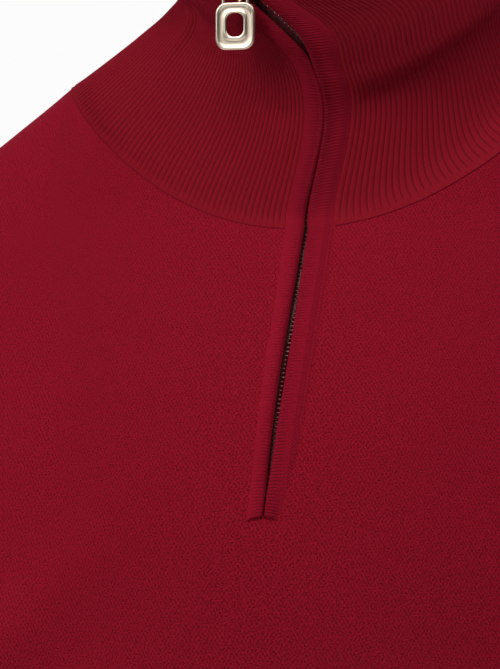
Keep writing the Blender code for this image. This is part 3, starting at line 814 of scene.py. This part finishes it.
def rib_phases(ribs):
    """Places across a run of ribs, in ribs: the valley, the shoulders and the crown of each."""
    return np.append((np.arange(ribs)[:, None] + RIB_SECTION["phase"][:-1]).ravel(), ribs)


def rib_relief(phase):
    """How far a rib stands out across it: a flat crown over narrow valleys."""
    return RIB_HEIGHT * np.interp(phase % 1.0, RIB_SECTION["phase"], RIB_SECTION["rise"])


def ribbed_tube(name, loops, ribs, material, mirrored=False):
    phase = rib_phases(ribs)
    base, _ = tube_through([spread_loop(loop, phase / ribs) for loop in loops], RIB_ROWS)
    normal = tube_normals(base)
    outer = base + normal * rib_relief(phase)[None, :, None]
    outer[:, -1] = outer[:, 0]
    inner = base - normal * (RIB_WALL - RIB_HEIGHT)
    knit = points(phase * RIB_PITCH, lengths(base))
    return shell(name, outer, knit, RIB_WALL, material, mirrored=mirrored, rounded=3, inner=inner)


def body_loop(height, way=1):
    """The body's outline at a height. The angle runs to the wearer's left, or right where way is -1."""
    half_width, front, back = (smooth(BODY_RINGS, name, height) for name in ("half_width", "front", "back"))

    def loop(angle):
        sine = np.sin(way * angle)
        cosine = np.cos(way * angle)
        x = half_width * np.sign(sine) * np.abs(sine) ** (2 / ROUNDNESS)
        y = np.where(cosine >= 0, -front, back) * np.abs(cosine) ** (2 / ROUNDNESS)
        return points(x, y, height)

    return loop


def make_hem(material):
    loops = [body_loop(height, -1) for height in np.linspace(HEM_SEAM, HEM_END, 4)]
    return ribbed_tube("hem_knit", loops, HEM_RIBS, material)


def make_cuff(side, mirrored, material):
    loops = [lambda angle, ring=ring: sleeve_ring(ring, angle) for ring in rows_of(CUFF_RINGS)]
    return ribbed_tube(f"cuff_{side}_knit", loops, CUFF_RIBS, material, mirrored)


def rib_angles():
    """Angles round the neck seam for every rib's columns, and the ribs counted up to each."""
    angles = np.linspace(0, 2 * pi, 3601)
    middle = (angles[1:] + angles[:-1]) / 2
    turn = (np.degrees(middle) + 180) % 360 - 180
    steps = np.linalg.norm(np.diff(neckline(angles), axis=0), axis=1) / smooth(NECK_STRETCH, "pitch", turn)
    start = band_edge("left", 0) / NECK_HALF_WIDTH
    end = 2 * pi + band_edge("right", 0) / NECK_HALF_WIDTH
    ribs = np.concatenate([[0], np.cumsum(steps)])
    first, last = np.interp([start, end], angles, ribs)
    count = int(round(last - first))
    phase = rib_phases(count)
    return np.interp(first + phase * (last - first) / count, ribs, angles), phase


def make_collar(material):
    """The ribbed collar between the two bands, its columns following the ribs."""
    share = np.linspace(0, 1, COLLAR_ROWS)[:, None]
    at_seam, phase = rib_angles()
    round_share = (at_seam - at_seam[0]) / (at_seam[-1] - at_seam[0])
    first = band_edge("left", 0) / width_per_turn(share)
    last = 2 * pi + band_edge("right", 0) / width_per_turn(share)
    angle = first + (last - first) * round_share
    base = collar_surface(angle, share)
    rise = np.zeros(base.shape[:2])
    turned = np.degrees(angle)
    for fold in rows_of(COLLAR_FOLDS):
        around = np.radians((turned - fold["turn"] + 180) % 360 - 180) * COLLAR_RADIUS
        rise += ridge(around, (share - fold["share"]) * COLLAR_HEIGHT, fold)
    rise *= smoothstep(share / 0.12)
    rise *= smoothstep((turned - turned[:, :1]) / 5) * smoothstep((turned[:, -1:] - turned) / 5)
    relief = rib_relief(phase) * smoothstep(share / 0.05)
    normal = grid_normals(base)
    outer = base + normal * (rise + relief)[..., None]
    inner = base + normal * (rise - RIB_WALL + RIB_HEIGHT)[..., None]
    knit = points(phase * RIB_PITCH, lengths(base))
    return shell("collar_knit", outer, knit, RIB_WALL, material, rounded=4, inner=inner)


def zip_run(first, last, step):
    """Places along the zip at even distances on the cloth, as values of along."""
    dense = np.linspace(first, last, 1200)
    run = lengths(zip_surface(0.0, dense))
    at = np.linspace(0, run[-1], int(round(run[-1] / step)) + 1)
    return np.interp(at, run, dense), at


def end_bow(across):
    """How far up the bands' lower end bows, by the distance from its middle."""
    return END_BOW * (1 - (across / 6) ** 2)


def make_band(side, sign, material):
    """A knitted band beside the zip: a soft roll with cross ridges, its lower end a little bowed."""
    per_ridge = 6
    along, run = zip_run(BAND_END, COLLAR_HEIGHT, BAND_RIDGE / per_ridge)
    near = smooth(BAND_GAP, "half_gap", along)[:, None]
    far = np.abs(band_edge(side, along))[:, None]
    share = np.linspace(0, 1, ACROSS_BAND)
    across = near + (far + 0.3 - near) * share
    bow = end_bow(across) * np.exp(-((along - BAND_END) / 4)[:, None])
    ridges = BAND_RIDGES[side] * (0.5 + 0.5 * np.cos(2 * pi * np.arange(len(along)) / per_ridge))
    fade = smoothstep(share / 0.1) * (1 - 0.8 * smoothstep(share * 1.6 - 0.5))
    height = smooth(BAND_SECTION, "rise", share) + ridges[:, None] * fade
    height += MEETING_RISE * smoothstep(1 - near / OPEN_GAP) * (1 - smoothstep(share / 0.25))
    knit = points(across, run[:, None])[:, ::sign]
    grid = moved_out(zip_surface, sign * across, along[:, None] + bow, height)[:, ::sign]
    return shell(f"band_{side}_knit", grid, knit, BAND_WALL, material, rounded=3)


def make_tape(side, sign, material):
    along, run = zip_run(BAND_END, COLLAR_HEIGHT - 1, 2.0)
    across = sign * np.linspace(*TAPE_EDGES, ACROSS_TAPE)[::sign]
    grid = moved_out(zip_surface, across, along[:, None], np.full((len(along), ACROSS_TAPE), -TAPE_DEPTH))
    return shell(f"tape_{side}_woven", grid, points(across, run[:, None]), TAPE_WALL, material)


def cord_rings(side, up, turns):
    """Round sections that stand across a cord, one for each pair of directions."""
    turns = turns[:, None]
    return np.cos(turns) * side[:, None] + np.sin(turns) * up[:, None]


def tube_along(name, path, radius, material, sides=8, closed=False):
    """A round cord of small radius along a path, for seams."""
    path = np.asarray(path, float)
    if closed:
        path = np.concatenate([path, path[:1]])
    tangent = np.gradient(path, axis=0)
    if closed:
        tangent[[0, -1]] = path[1] - path[-2]
    tangent = unit(tangent)
    side = unit(np.cross(tangent, np.where(np.abs(tangent[:, 2:]) > 0.9, (1.0, 0, 0), (0, 0, 1.0))))
    turns = np.linspace(0, 2 * pi, sides + 1)
    grid = path[:, None] + cord_rings(side, np.cross(side, tangent), turns) * radius
    knit = points(turns * 0.6, lengths(path)[:, None])
    return build_mesh(name, grid, grid_quads(*grid.shape[:2]), material, knit)


def beads(name, places, directions, material, length, radius):
    """Small stitches: a six-sided bead at each place, lying along its direction."""
    along = BEAD_SECTION["along"][:, None, None] * length
    sizes = BEAD_SECTION["size"][:, None, None] * radius
    ahead = unit(directions)
    side = unit(np.cross(ahead, (0.0, -1.0, 0.0)))
    rings = cord_rings(side, np.cross(side, ahead), np.linspace(0, 2 * pi, 7))
    made = places[:, None, None] + along * ahead[:, None, None] + sizes * rings[:, None]
    steps, sides = made.shape[1:3]
    quads = np.concatenate([grid_quads(steps, sides, steps * sides * k) for k in range(len(places))])
    return build_mesh(name, made, quads, material)


def put(socket, value):
    """Links another node's output to a socket, or sets its value."""
    if isinstance(value, bpy.types.NodeSocket):
        socket.id_data.links.new(value, socket)
    else:
        socket.default_value = value


def node(tree, kind, inputs, **settings):
    made = tree.nodes.new(kind)
    for key, value in settings.items():
        setattr(made, key, value)
    for key, value in inputs.items():
        put(made.inputs[key], value)
    return made


def calc(operation, *values):
    return node(values[0].id_data, "ShaderNodeMath", dict(enumerate(values)), operation=operation).outputs[0]


def between_limits(value, low, high, **settings):
    """The value's range from 0 to 1, or from its given first limits, brought to low and high."""
    inputs = {"Value": value, "To Min": low, "To Max": high, **settings}
    return node(value.id_data, "ShaderNodeMapRange", inputs)


def times(first, second):
    return calc("MULTIPLY", first, second)


def ramp(value, low, high):
    """0 below low, 1 above high and a soft step between; low may be the larger."""
    limits = {"From Min": min(low, high), "From Max": max(low, high)}
    made = between_limits(value, float(low > high), float(low < high), **limits)
    made.interpolation_type = "SMOOTHSTEP"
    return made.outputs[0]


def waves(value, pitch):
    """A sine along value, one turn for each pitch."""
    return calc("SINE", times(value, 2 * pi / pitch))


def from_middle(value, pitch):
    """Distance from the middle of each repeat, from 0 there to 0.5 at its ends."""
    return calc("ABSOLUTE", calc("SUBTRACT", calc("FRACT", calc("DIVIDE", value, pitch)), 0.5))


def noise(place, scale, detail=2.0):
    inputs = {"Vector": place, "Scale": scale, "Detail": detail}
    return node(place.id_data, "ShaderNodeTexNoise", inputs).outputs["Fac"]


def mottling(tree, scale, detail, low, high):
    """Broad soft noise over the object, between two values."""
    place = node(tree, "ShaderNodeTexCoord", {}).outputs["Object"]
    cloudy = noise(place, scale, detail)
    return cloudy, between_limits(cloudy, low, high).outputs[0]


def new_material(name, values):
    material = bpy.data.materials.new(name)
    material.use_nodes = True
    shader = material.node_tree.nodes["Principled BSDF"]
    for key, value in values.items():
        shader.inputs[key].default_value = value
    return material, shader


def cloth_shader(name, roughness=0.9, sheen=0.25):
    """A new material with its shader set for yarn, and its flat-cloth coordinates in millimetres."""
    material, shader = new_material(name, {
        "Roughness": roughness,
        "Specular IOR Level": 0.06,
        "Sheen Weight": sheen,
        "Sheen Roughness": 0.5,
        "Sheen Tint": SHEEN_RED,
    })
    place = node(material.node_tree, "ShaderNodeUVMap", {}, uv_map="Knit").outputs[0]
    parts = node(material.node_tree, "ShaderNodeSeparateXYZ", {0: place}).outputs
    return material, shader, parts[0], parts[1], place


def shade(shader, colour, dark, amount):
    """Base colour: darkened by amount where dark is 1, with broad soft mottling."""
    tree = shader.id_data
    deep = [part * (1 - amount) for part in colour]
    inputs = {"A": (*colour, 1), "B": (*deep, 1), "Factor": dark}
    mix = node(tree, "ShaderNodeMix", inputs, data_type="RGBA", blend_type="MIX")
    _, vary = mottling(tree, 9.0, 3.0, 1 - MOTTLE, 1 + MOTTLE)
    inputs = {0: mix.outputs["Result"], "Scale": vary}
    put(shader.inputs["Base Color"], node(tree, "ShaderNodeVectorMath", inputs, operation="SCALE").outputs[0])


def bump(shader, height, distance, strength=1.0):
    inputs = {"Height": height, "Distance": distance * MM, "Strength": strength}
    put(shader.inputs["Normal"], node(shader.id_data, "ShaderNodeBump", inputs).outputs[0])


def pique_material():
    """Fine uneven knit: small raised stitches on a wandering lattice, with painted shade darkening the low
    spots between them.
    """
    material, shader, u, v, place = cloth_shader("red pique knit")
    wander = noise(place, 0.45, 1.0)
    u = calc("MULTIPLY_ADD", wander, 1.8, u)
    v = calc("MULTIPLY_ADD", wander, -1.4, v)
    lattice = times(times(waves(u, PIQUE_WIDTH), waves(v, 2 * PIQUE_ROW)), 0.65)
    yarn = calc("SUBTRACT", noise(place, 1.7, 3.0), 0.5)
    height = calc("MULTIPLY_ADD", yarn, 6.8, lattice)
    bump(shader, height, 0.17)
    # Painted shade: where the stitches' height is low, between them, the colour is darkened.
    shade(shader, PIQUE_RED, ramp(height, 0.8, -1.3), 0.66)
    return material


def rib_material():
    """Ribs of two leaning rows of stitches, with painted shade in the valleys between ribs, fading out by the
    seam, and in the stitches' low spots; also painted shade darkening the cloth high up.
    """
    material, shader, u, v, place = cloth_shader("red rib knit")
    off = from_middle(u, RIB_PITCH)
    lean = calc("MULTIPLY_ADD", off, 2.6 * RIB_STITCH, v)
    lean = calc("MULTIPLY_ADD", noise(place, 0.6), 0.8, lean)
    stitch = waves(lean, RIB_STITCH)
    yarn = calc("SUBTRACT", noise(place, 1.9, 3.0), 0.5)
    height = calc("MULTIPLY_ADD", stitch, 0.45, times(yarn, 3.4))
    bump(shader, height, 0.15)
    # Painted shade: the valleys between the ribs are darkened, fading out near the seam.
    valley = times(ramp(off, 0.27, 0.43), ramp(v, 1.0, 6.0))
    crown = times(ramp(off, 0.1, 0.0), 0.3)
    # Painted shade: the low spots between the stitches are darkened.
    loops = times(ramp(height, 0.1, -1.0), 0.6)
    dark = calc("MAXIMUM", valley, calc("ADD", crown, loops))
    # Painted shade: the cloth darkens from 50 to 110 mm up, where the collar leans out and faces down, away
    # from the lights above; hem and cuffs get little of it.
    dark = calc("MULTIPLY_ADD", ramp(v, 50.0, 110.0), 0.4, dark)
    shade(shader, RIB_RED, dark, 0.4)
    return material


def band_material(name, groove_shade, chain):
    """A band's cross ridges with painted shade in the grooves between them, deepest by the zip, and in the
    yarn's low spots; a chain of leaning stitches by its far edge; painted shade high up.
    """
    material, shader, u, v, place = cloth_shader(name)
    bent = calc("MULTIPLY_ADD", noise(place, 0.5), 0.5, v)
    # Painted shade: the grooves between the cross ridges are darkened, most near the zip.
    shade_between_ridges = ramp(from_middle(bent, BAND_RIDGE), 0.32, 0.05)
    by_zip = calc("MULTIPLY_ADD", ramp(u, 7.5, 2.5), 0.7, 0.3)
    yarn = calc("SUBTRACT", noise(place, 1.6), 0.5)
    bump(shader, times(yarn, 2.0), 0.14)
    leaning = waves(calc("MULTIPLY_ADD", u, 0.9, v), BAND_RIDGE)
    strip = times(ramp(u, 6.8, 8.2), ramp(u, 10.6, 9.6))
    strokes = times(ramp(leaning, 0.0, 0.9), times(strip, chain))
    # Painted shade: the yarn's low spots are darkened.
    loops = times(ramp(yarn, 0.08, -0.2), 0.5)
    ridges = times(times(shade_between_ridges, by_zip), groove_shade)
    dark = calc("MAXIMUM", ridges, calc("MAXIMUM", strokes, loops))
    # Painted shade: the band darkens from 95 to 155 mm up the zip, high on the collar, where it leans out and
    # faces down.
    upper = times(ramp(v, 95.0, 155.0), 0.45)
    shade(shader, KNIT_RED, calc("MAXIMUM", dark, upper), 0.8)
    return material


def seam_material():
    """Linking yarn: a twisted cord, a little darker than the knit, with painted shade in the grooves of its
    twist.
    """
    material, shader, u, v, _ = cloth_shader("red linking yarn")
    twist = waves(calc("MULTIPLY_ADD", u, 0.6, v), 1.3)
    bump(shader, twist, 0.1)
    # Painted shade: the grooves of the twist are darkened.
    shade(shader, SEAM_RED, ramp(twist, 0.0, -1.0), 0.4)
    return material


def tape_material():
    """Woven zip tape, dark maroon."""
    material, shader, u, v, _ = cloth_shader("dark zip tape", 0.75, 0.1)
    weave = times(waves(u, 0.7), waves(v, 0.7))
    bump(shader, weave, 0.06)
    shade(shader, TAPE_RED, ramp(weave, 0.0, 1.0), 0.4)
    return material


def stitch_material():
    material, shader, _, _, place = cloth_shader("light stitch yarn", 0.85, 0.25)
    shade(shader, STITCH_RED, noise(place, 2.0), 0.2)
    return material


def metal_material(name, colour, roughness):
    """Cast metal with a satin face, its sheen a little uneven."""
    material, shader = new_material(name, {"Base Color": (*colour, 1), "Metallic": 1})
    cloudy, spread = mottling(shader.id_data, 160.0, 2.0, roughness - 0.08, roughness + 0.08)
    put(shader.inputs["Roughness"], spread)
    bump(shader, cloudy, 0.05, 0.3)
    return material


def slider_frame():
    """The slider's place and turn on the zip, as the solids have it."""
    along = np.array([SLIDER_ALONG], float)
    place = zip_surface(0.0, along)[0]
    up = Vector(zip_surface(0.0, along + 3)[0] - zip_surface(0.0, along - 3)[0]).normalized()
    out = Vector(moved_out(zip_surface, 0.0, along, np.ones(1))[0] - place)
    out = (out - up * out.dot(up)).normalized()
    turn = Matrix((up.cross(out), -out, up)).transposed()
    return Matrix.LocRotScale(Vector(place) * MM, turn.to_quaternion(), None)


def hinge_frame():
    rise = PLATE_FRONT + PLATE + HINGE_RISE
    place = slider_frame() @ Vector((0, -rise * MM, 0))
    return Matrix.LocRotScale(place, Euler((0, 0, radians(PULL_TURN))), None)


def arc(start, end, steps):
    """Points on a quarter of a circle of radius 1, between two angles in degrees."""
    turn = np.radians(np.linspace(start, end, steps + 1))
    return points(np.cos(turn), np.sin(turn))


def rounded_outline(width, length, corner):
    """A closed rounded rectangle, anticlockwise, about its own centre."""
    inner = np.array((width / 2 - corner, length / 2 - corner))
    outline = []
    for start, side in ((0, (1, 1)), (90, (-1, 1)), (180, (-1, -1)), (270, (1, -1))):
        outline.append(inner * side + corner * arc(start, start + 90, 10))
    return np.concatenate(outline + [outline[0][:1]])


def from_hinge(place):
    """Points given about the pull's hinge, as points of the whole garment."""
    hinge = hinge_frame()
    return np.asarray(place) @ np.array(hinge.to_3x3()).T + np.array(hinge.translation) / MM


def make_pull(material):
    """The plain pull: a frame with eased edges and a shallow channel round its face, and its bail."""
    outline = rounded_outline(TAB_WIDTH, TAB_LENGTH, TAB_CORNER)
    window = rounded_outline(WINDOW_WIDTH, WINDOW_LENGTH, WINDOW_CORNER) + (0, TAB_LIFT)
    middle = (0, -(BAIL_RISE + TAB_LENGTH / 2 - 1.0))
    share = PULL_SECTION["share"][:, None, None]
    flat = middle + outline * (1 - share) + window * share
    grid = from_hinge(points(flat[..., 0], -PULL_SECTION["forward"][:, None], flat[..., 1]))
    tab = build_mesh("pull_frame", grid, grid_quads(*grid.shape[:2]), material)
    corner = np.array((BAIL_HALF_WIDTH - BAIL_BEND, -BAIL_BEND))
    leg = np.array((BAIL_HALF_WIDTH, -BAIL_RISE - 1.5))
    right = np.concatenate([corner + BAIL_BEND * arc(90, 0, 8), [leg]])
    bent = np.concatenate([right[::-1] * (-1, 1), right])
    path = from_hinge(points(bent[:, 0], 0.0, bent[:, 1]))
    return join("pull_metal", [tab, tube_along("pull_bail", path, BAIL_BAR / 2, material, sides=14)])


def make_seams(material):
    """The linked seams: round the neck, over the shoulders, round the armholes and cuffs, down the sides."""
    angles = np.radians(np.linspace(*NECK_SEAM_ENDS, 400))
    once_round = np.linspace(0, 2 * pi, 200, endpoint=False)
    ridge_x = np.linspace(NECK_HALF_WIDTH, SHOULDER_HALF_WIDTH, 60)
    side_z = np.linspace(HEM_SEAM, UNDERARM, 120)
    cuff = sleeve_ring(rows_of(SLEEVE_RINGS)[-1], np.linspace(0, 2 * pi, 120, endpoint=False))
    halves = (
        ("shoulder", points(ridge_x, 0.0, ridge_heights(ridge_x)), False),
        ("armhole", armhole_loop(once_round), True),
        ("side", points(smooth(BODY_RINGS, "half_width", side_z), 0.0, side_z), False),
        ("cuff", cuff, True),
    )
    made = [tube_along("neck_seam", neckline(angles) + (0, 0, -0.1), SEAM_RADIUS["neck"], material)]
    for side, sign in SIDES.items():
        for kind, path, closed in halves:
            name = f"{kind}_seam_{side}"
            made.append(tube_along(name, path * (sign, 1, 1), SEAM_RADIUS[kind], material, closed=closed))
    hem = spread_loop(body_loop(HEM_SEAM), np.linspace(0, 1, 300, endpoint=False))
    made.append(tube_along("hem_seam", hem, SEAM_RADIUS["hem"], material, closed=True))
    return made


def make_band_stitches(material):
    """The chain of small light stitches along the outer edge of the wearer's left band."""
    along, _ = zip_run(BAND_END + 1, 6, 1.5)
    edge = band_edge("left", along) - 0.5
    places = moved_out(zip_surface, edge, along, np.full_like(along, 0.3))
    ahead = zip_surface(edge + 0.55, along + 0.6) - zip_surface(edge, along)
    return beads("band_stitches", places, ahead, material, **BAND_BEAD)


def make_end_stitches(material):
    """The bowed line of stitches that closes the bands' lower end."""
    across = np.linspace(band_edge("right", BAND_END) + 0.3, band_edge("left", BAND_END) - 0.3, 10)
    along = BAND_END - 0.2 + end_bow(across)
    places = moved_out(zip_surface, across, along, np.full_like(across, 0.35))
    return beads("band_end_stitches", places, np.gradient(places, axis=0), material, **END_BEAD)


def make_teeth(material):
    """Small metal teeth on both tapes by turns, uneven in how far they reach into the gap."""
    along, _ = zip_run(BAND_END + 7, SLIDER_ALONG - 4, TOOTH_PITCH)
    count = np.arange(len(along))
    side = np.where(count % 2, TOOTH_STAGGER, -TOOTH_STAGGER)
    wobble = TOOTH_WOBBLE * np.sin(2.3 * count) * np.sin(0.37 * count)
    lean = TOOTH_LEAN * np.exp(-((along - TOOTH_LEAN_AT) / TOOTH_LEAN_SPREAD) ** 2)
    middle = zip_surface(0.0, along)
    up = unit(zip_surface(0.0, along + 0.5) - zip_surface(0.0, along - 0.5))
    out = moved_out(zip_surface, 0.0, along, np.ones(len(along))) - middle
    across = np.cross(out, up)
    places = middle + across * (lean + wobble + side)[:, None] - out * TOOTH_DEPTH
    corners = np.array([(x, y, z) for x in (-1, 1) for y in (-1, 1) for z in (-1, 1)], float) * TOOTH_SIZE
    faces = np.array([(0, 1, 3, 2), (4, 6, 7, 5), (0, 4, 5, 1), (2, 3, 7, 6), (0, 2, 6, 4), (1, 5, 7, 3)])
    vertices = places[:, None] + corners @ np.stack([across, out, up], 1)
    quads = (faces[None] + 8 * count[:, None, None]).reshape(-1, 4)
    teeth = build_mesh("zip_teeth", vertices, quads, material)
    teeth.data.shade_flat()
    return teeth


def direction(azimuth, elevation):
    azimuth = radians(azimuth)
    elevation = radians(elevation)
    return Vector((sin(azimuth) * cos(elevation), -cos(azimuth) * cos(elevation), sin(elevation)))


def set_camera():
    """A long lens a little to the right of the front, framed as the photograph."""
    back = direction(CAMERA_AZIMUTH, 0)
    right = direction(CAMERA_AZIMUTH + 90, 0)
    width, height = FRAME_SIZE
    target = Vector(NECK_POINT)
    target -= right * (NECK_POINT_PIXEL[0] - width / 2) * MM_PER_PIXEL
    target += Vector((0, 0, NECK_POINT_PIXEL[1] - height / 2)) * MM_PER_PIXEL
    data = bpy.data.cameras.new("camera")
    data.sensor_width = SENSOR
    data.lens = SENSOR * CAMERA_DISTANCE / (height * MM_PER_PIXEL)
    data.clip_start = 0.05
    camera = bpy.data.objects.new("camera", data)
    bpy.context.scene.collection.objects.link(camera)
    camera.location = (target + back * CAMERA_DISTANCE) * MM
    camera.rotation_euler = (-back).to_track_quat("-Z", "Y").to_euler()
    bpy.context.scene.camera = camera


def set_lights():
    """Soft panels round the object, strongest from above the front and from the left."""
    for light in rows_of(LIGHTS):
        data = bpy.data.lights.new(light["name"], "AREA")
        data.size = light["size"]
        data.energy = light["power"]
        panel = bpy.data.objects.new(light["name"], data)
        bpy.context.scene.collection.objects.link(panel)
        panel.location = direction(light["azimuth"], light["elevation"]) * LIGHT_DISTANCE
        panel.rotation_euler = (Vector(LIGHT_AIM) - panel.location).to_track_quat("-Z", "Y").to_euler()


def set_world():
    """A pale background to look at, which itself gives only a little light."""
    world = bpy.data.worlds.new("studio")
    bpy.context.scene.world = world
    world.use_nodes = True
    tree = world.node_tree
    lit = tree.nodes["Background"]
    put(lit.inputs["Color"], (1, 1, 1, 1))
    put(lit.inputs["Strength"], WORLD_LIGHT)
    seen = node(tree, "ShaderNodeBackground", {"Color": BACKDROP, "Strength": 1.0})
    is_seen = node(tree, "ShaderNodeLightPath", {}).outputs["Is Camera Ray"]
    mix = node(tree, "ShaderNodeMixShader", {"Fac": is_seen, 1: lit.outputs[0], 2: seen.outputs[0]})
    put(tree.nodes["World Output"].inputs["Surface"], mix.outputs[0])
    bpy.context.scene.view_settings.view_transform = "Standard"


def make_floor():
    bpy.ops.mesh.primitive_plane_add(size=FLOOR_SIZE, location=(0, 0, FLOOR_HEIGHT))
    floor = bpy.context.object
    floor.name = "studio_floor"
    material, _ = new_material("pale floor", {"Base Color": FLOOR_GREY, "Roughness": 0.9})
    floor.data.materials.append(material)


def dress(piece, body, slot, *nodes):
    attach(piece, body)
    if nodes:
        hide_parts(*nodes)


def main():
    for obj in list(bpy.data.objects):
        if obj.name in ("Cube", "Light", "Camera"):
            bpy.data.objects.remove(obj)
    pique = pique_material()
    rib = rib_material()
    # Each band: how strong the painted shade in its grooves is, and how dark its chain of stitches is.
    band = {
        "left": band_material("red band knit, left", 1.0, 0.7),
        "right": band_material("red band knit, right", 0.7, 0.3),
    }
    tape = tape_material()
    seam = seam_material()
    stitch = stitch_material()
    silver = metal_material("pale gold metal", PALE_GOLD, 0.32)
    # The teeth's steel is darkened as painted shade for the gap they sit in.
    steel = metal_material("zip steel", SHADE_DARKENED_STEEL, 0.45)
    dress(make_front(pique), GARMENT, "knit", "front")
    dress(make_back(pique), GARMENT, "knit", "back")
    for side, sign in SIDES.items():
        dress(make_sleeve(side, sign < 0, pique), GARMENT, "knit", f"sleeve_{side}")
    dress(make_collar(rib), GARMENT, "rib", "collar")
    dress(make_hem(rib), GARMENT, "rib", "hem_rib")
    for side, sign in SIDES.items():
        dress(make_cuff(side, sign < 0, rib), GARMENT, "rib", f"cuff_{side}")
    for side, sign in SIDES.items():
        dress(make_band(side, sign, band[side]), GARMENT, "knit", f"band_{side}")
    for side, sign in SIDES.items():
        dress(make_tape(side, sign, tape), GARMENT, "tape", f"tape_{side}")
    dress(make_band_stitches(stitch), GARMENT, "knit")
    dress(make_end_stitches(seam), GARMENT, "knit")
    dress(make_teeth(steel), GARMENT, "metal")
    dress(make_pull(silver), PULL, "metal", "pull_tab")
    for piece in make_seams(seam):
        dress(piece, GARMENT, "rib")
    slider = frame["nodes"]["slider"]
    slider.data.materials.clear()
    slider.data.materials.append(silver)
    make_floor()
    set_lights()
    set_world()
    set_camera()


main()
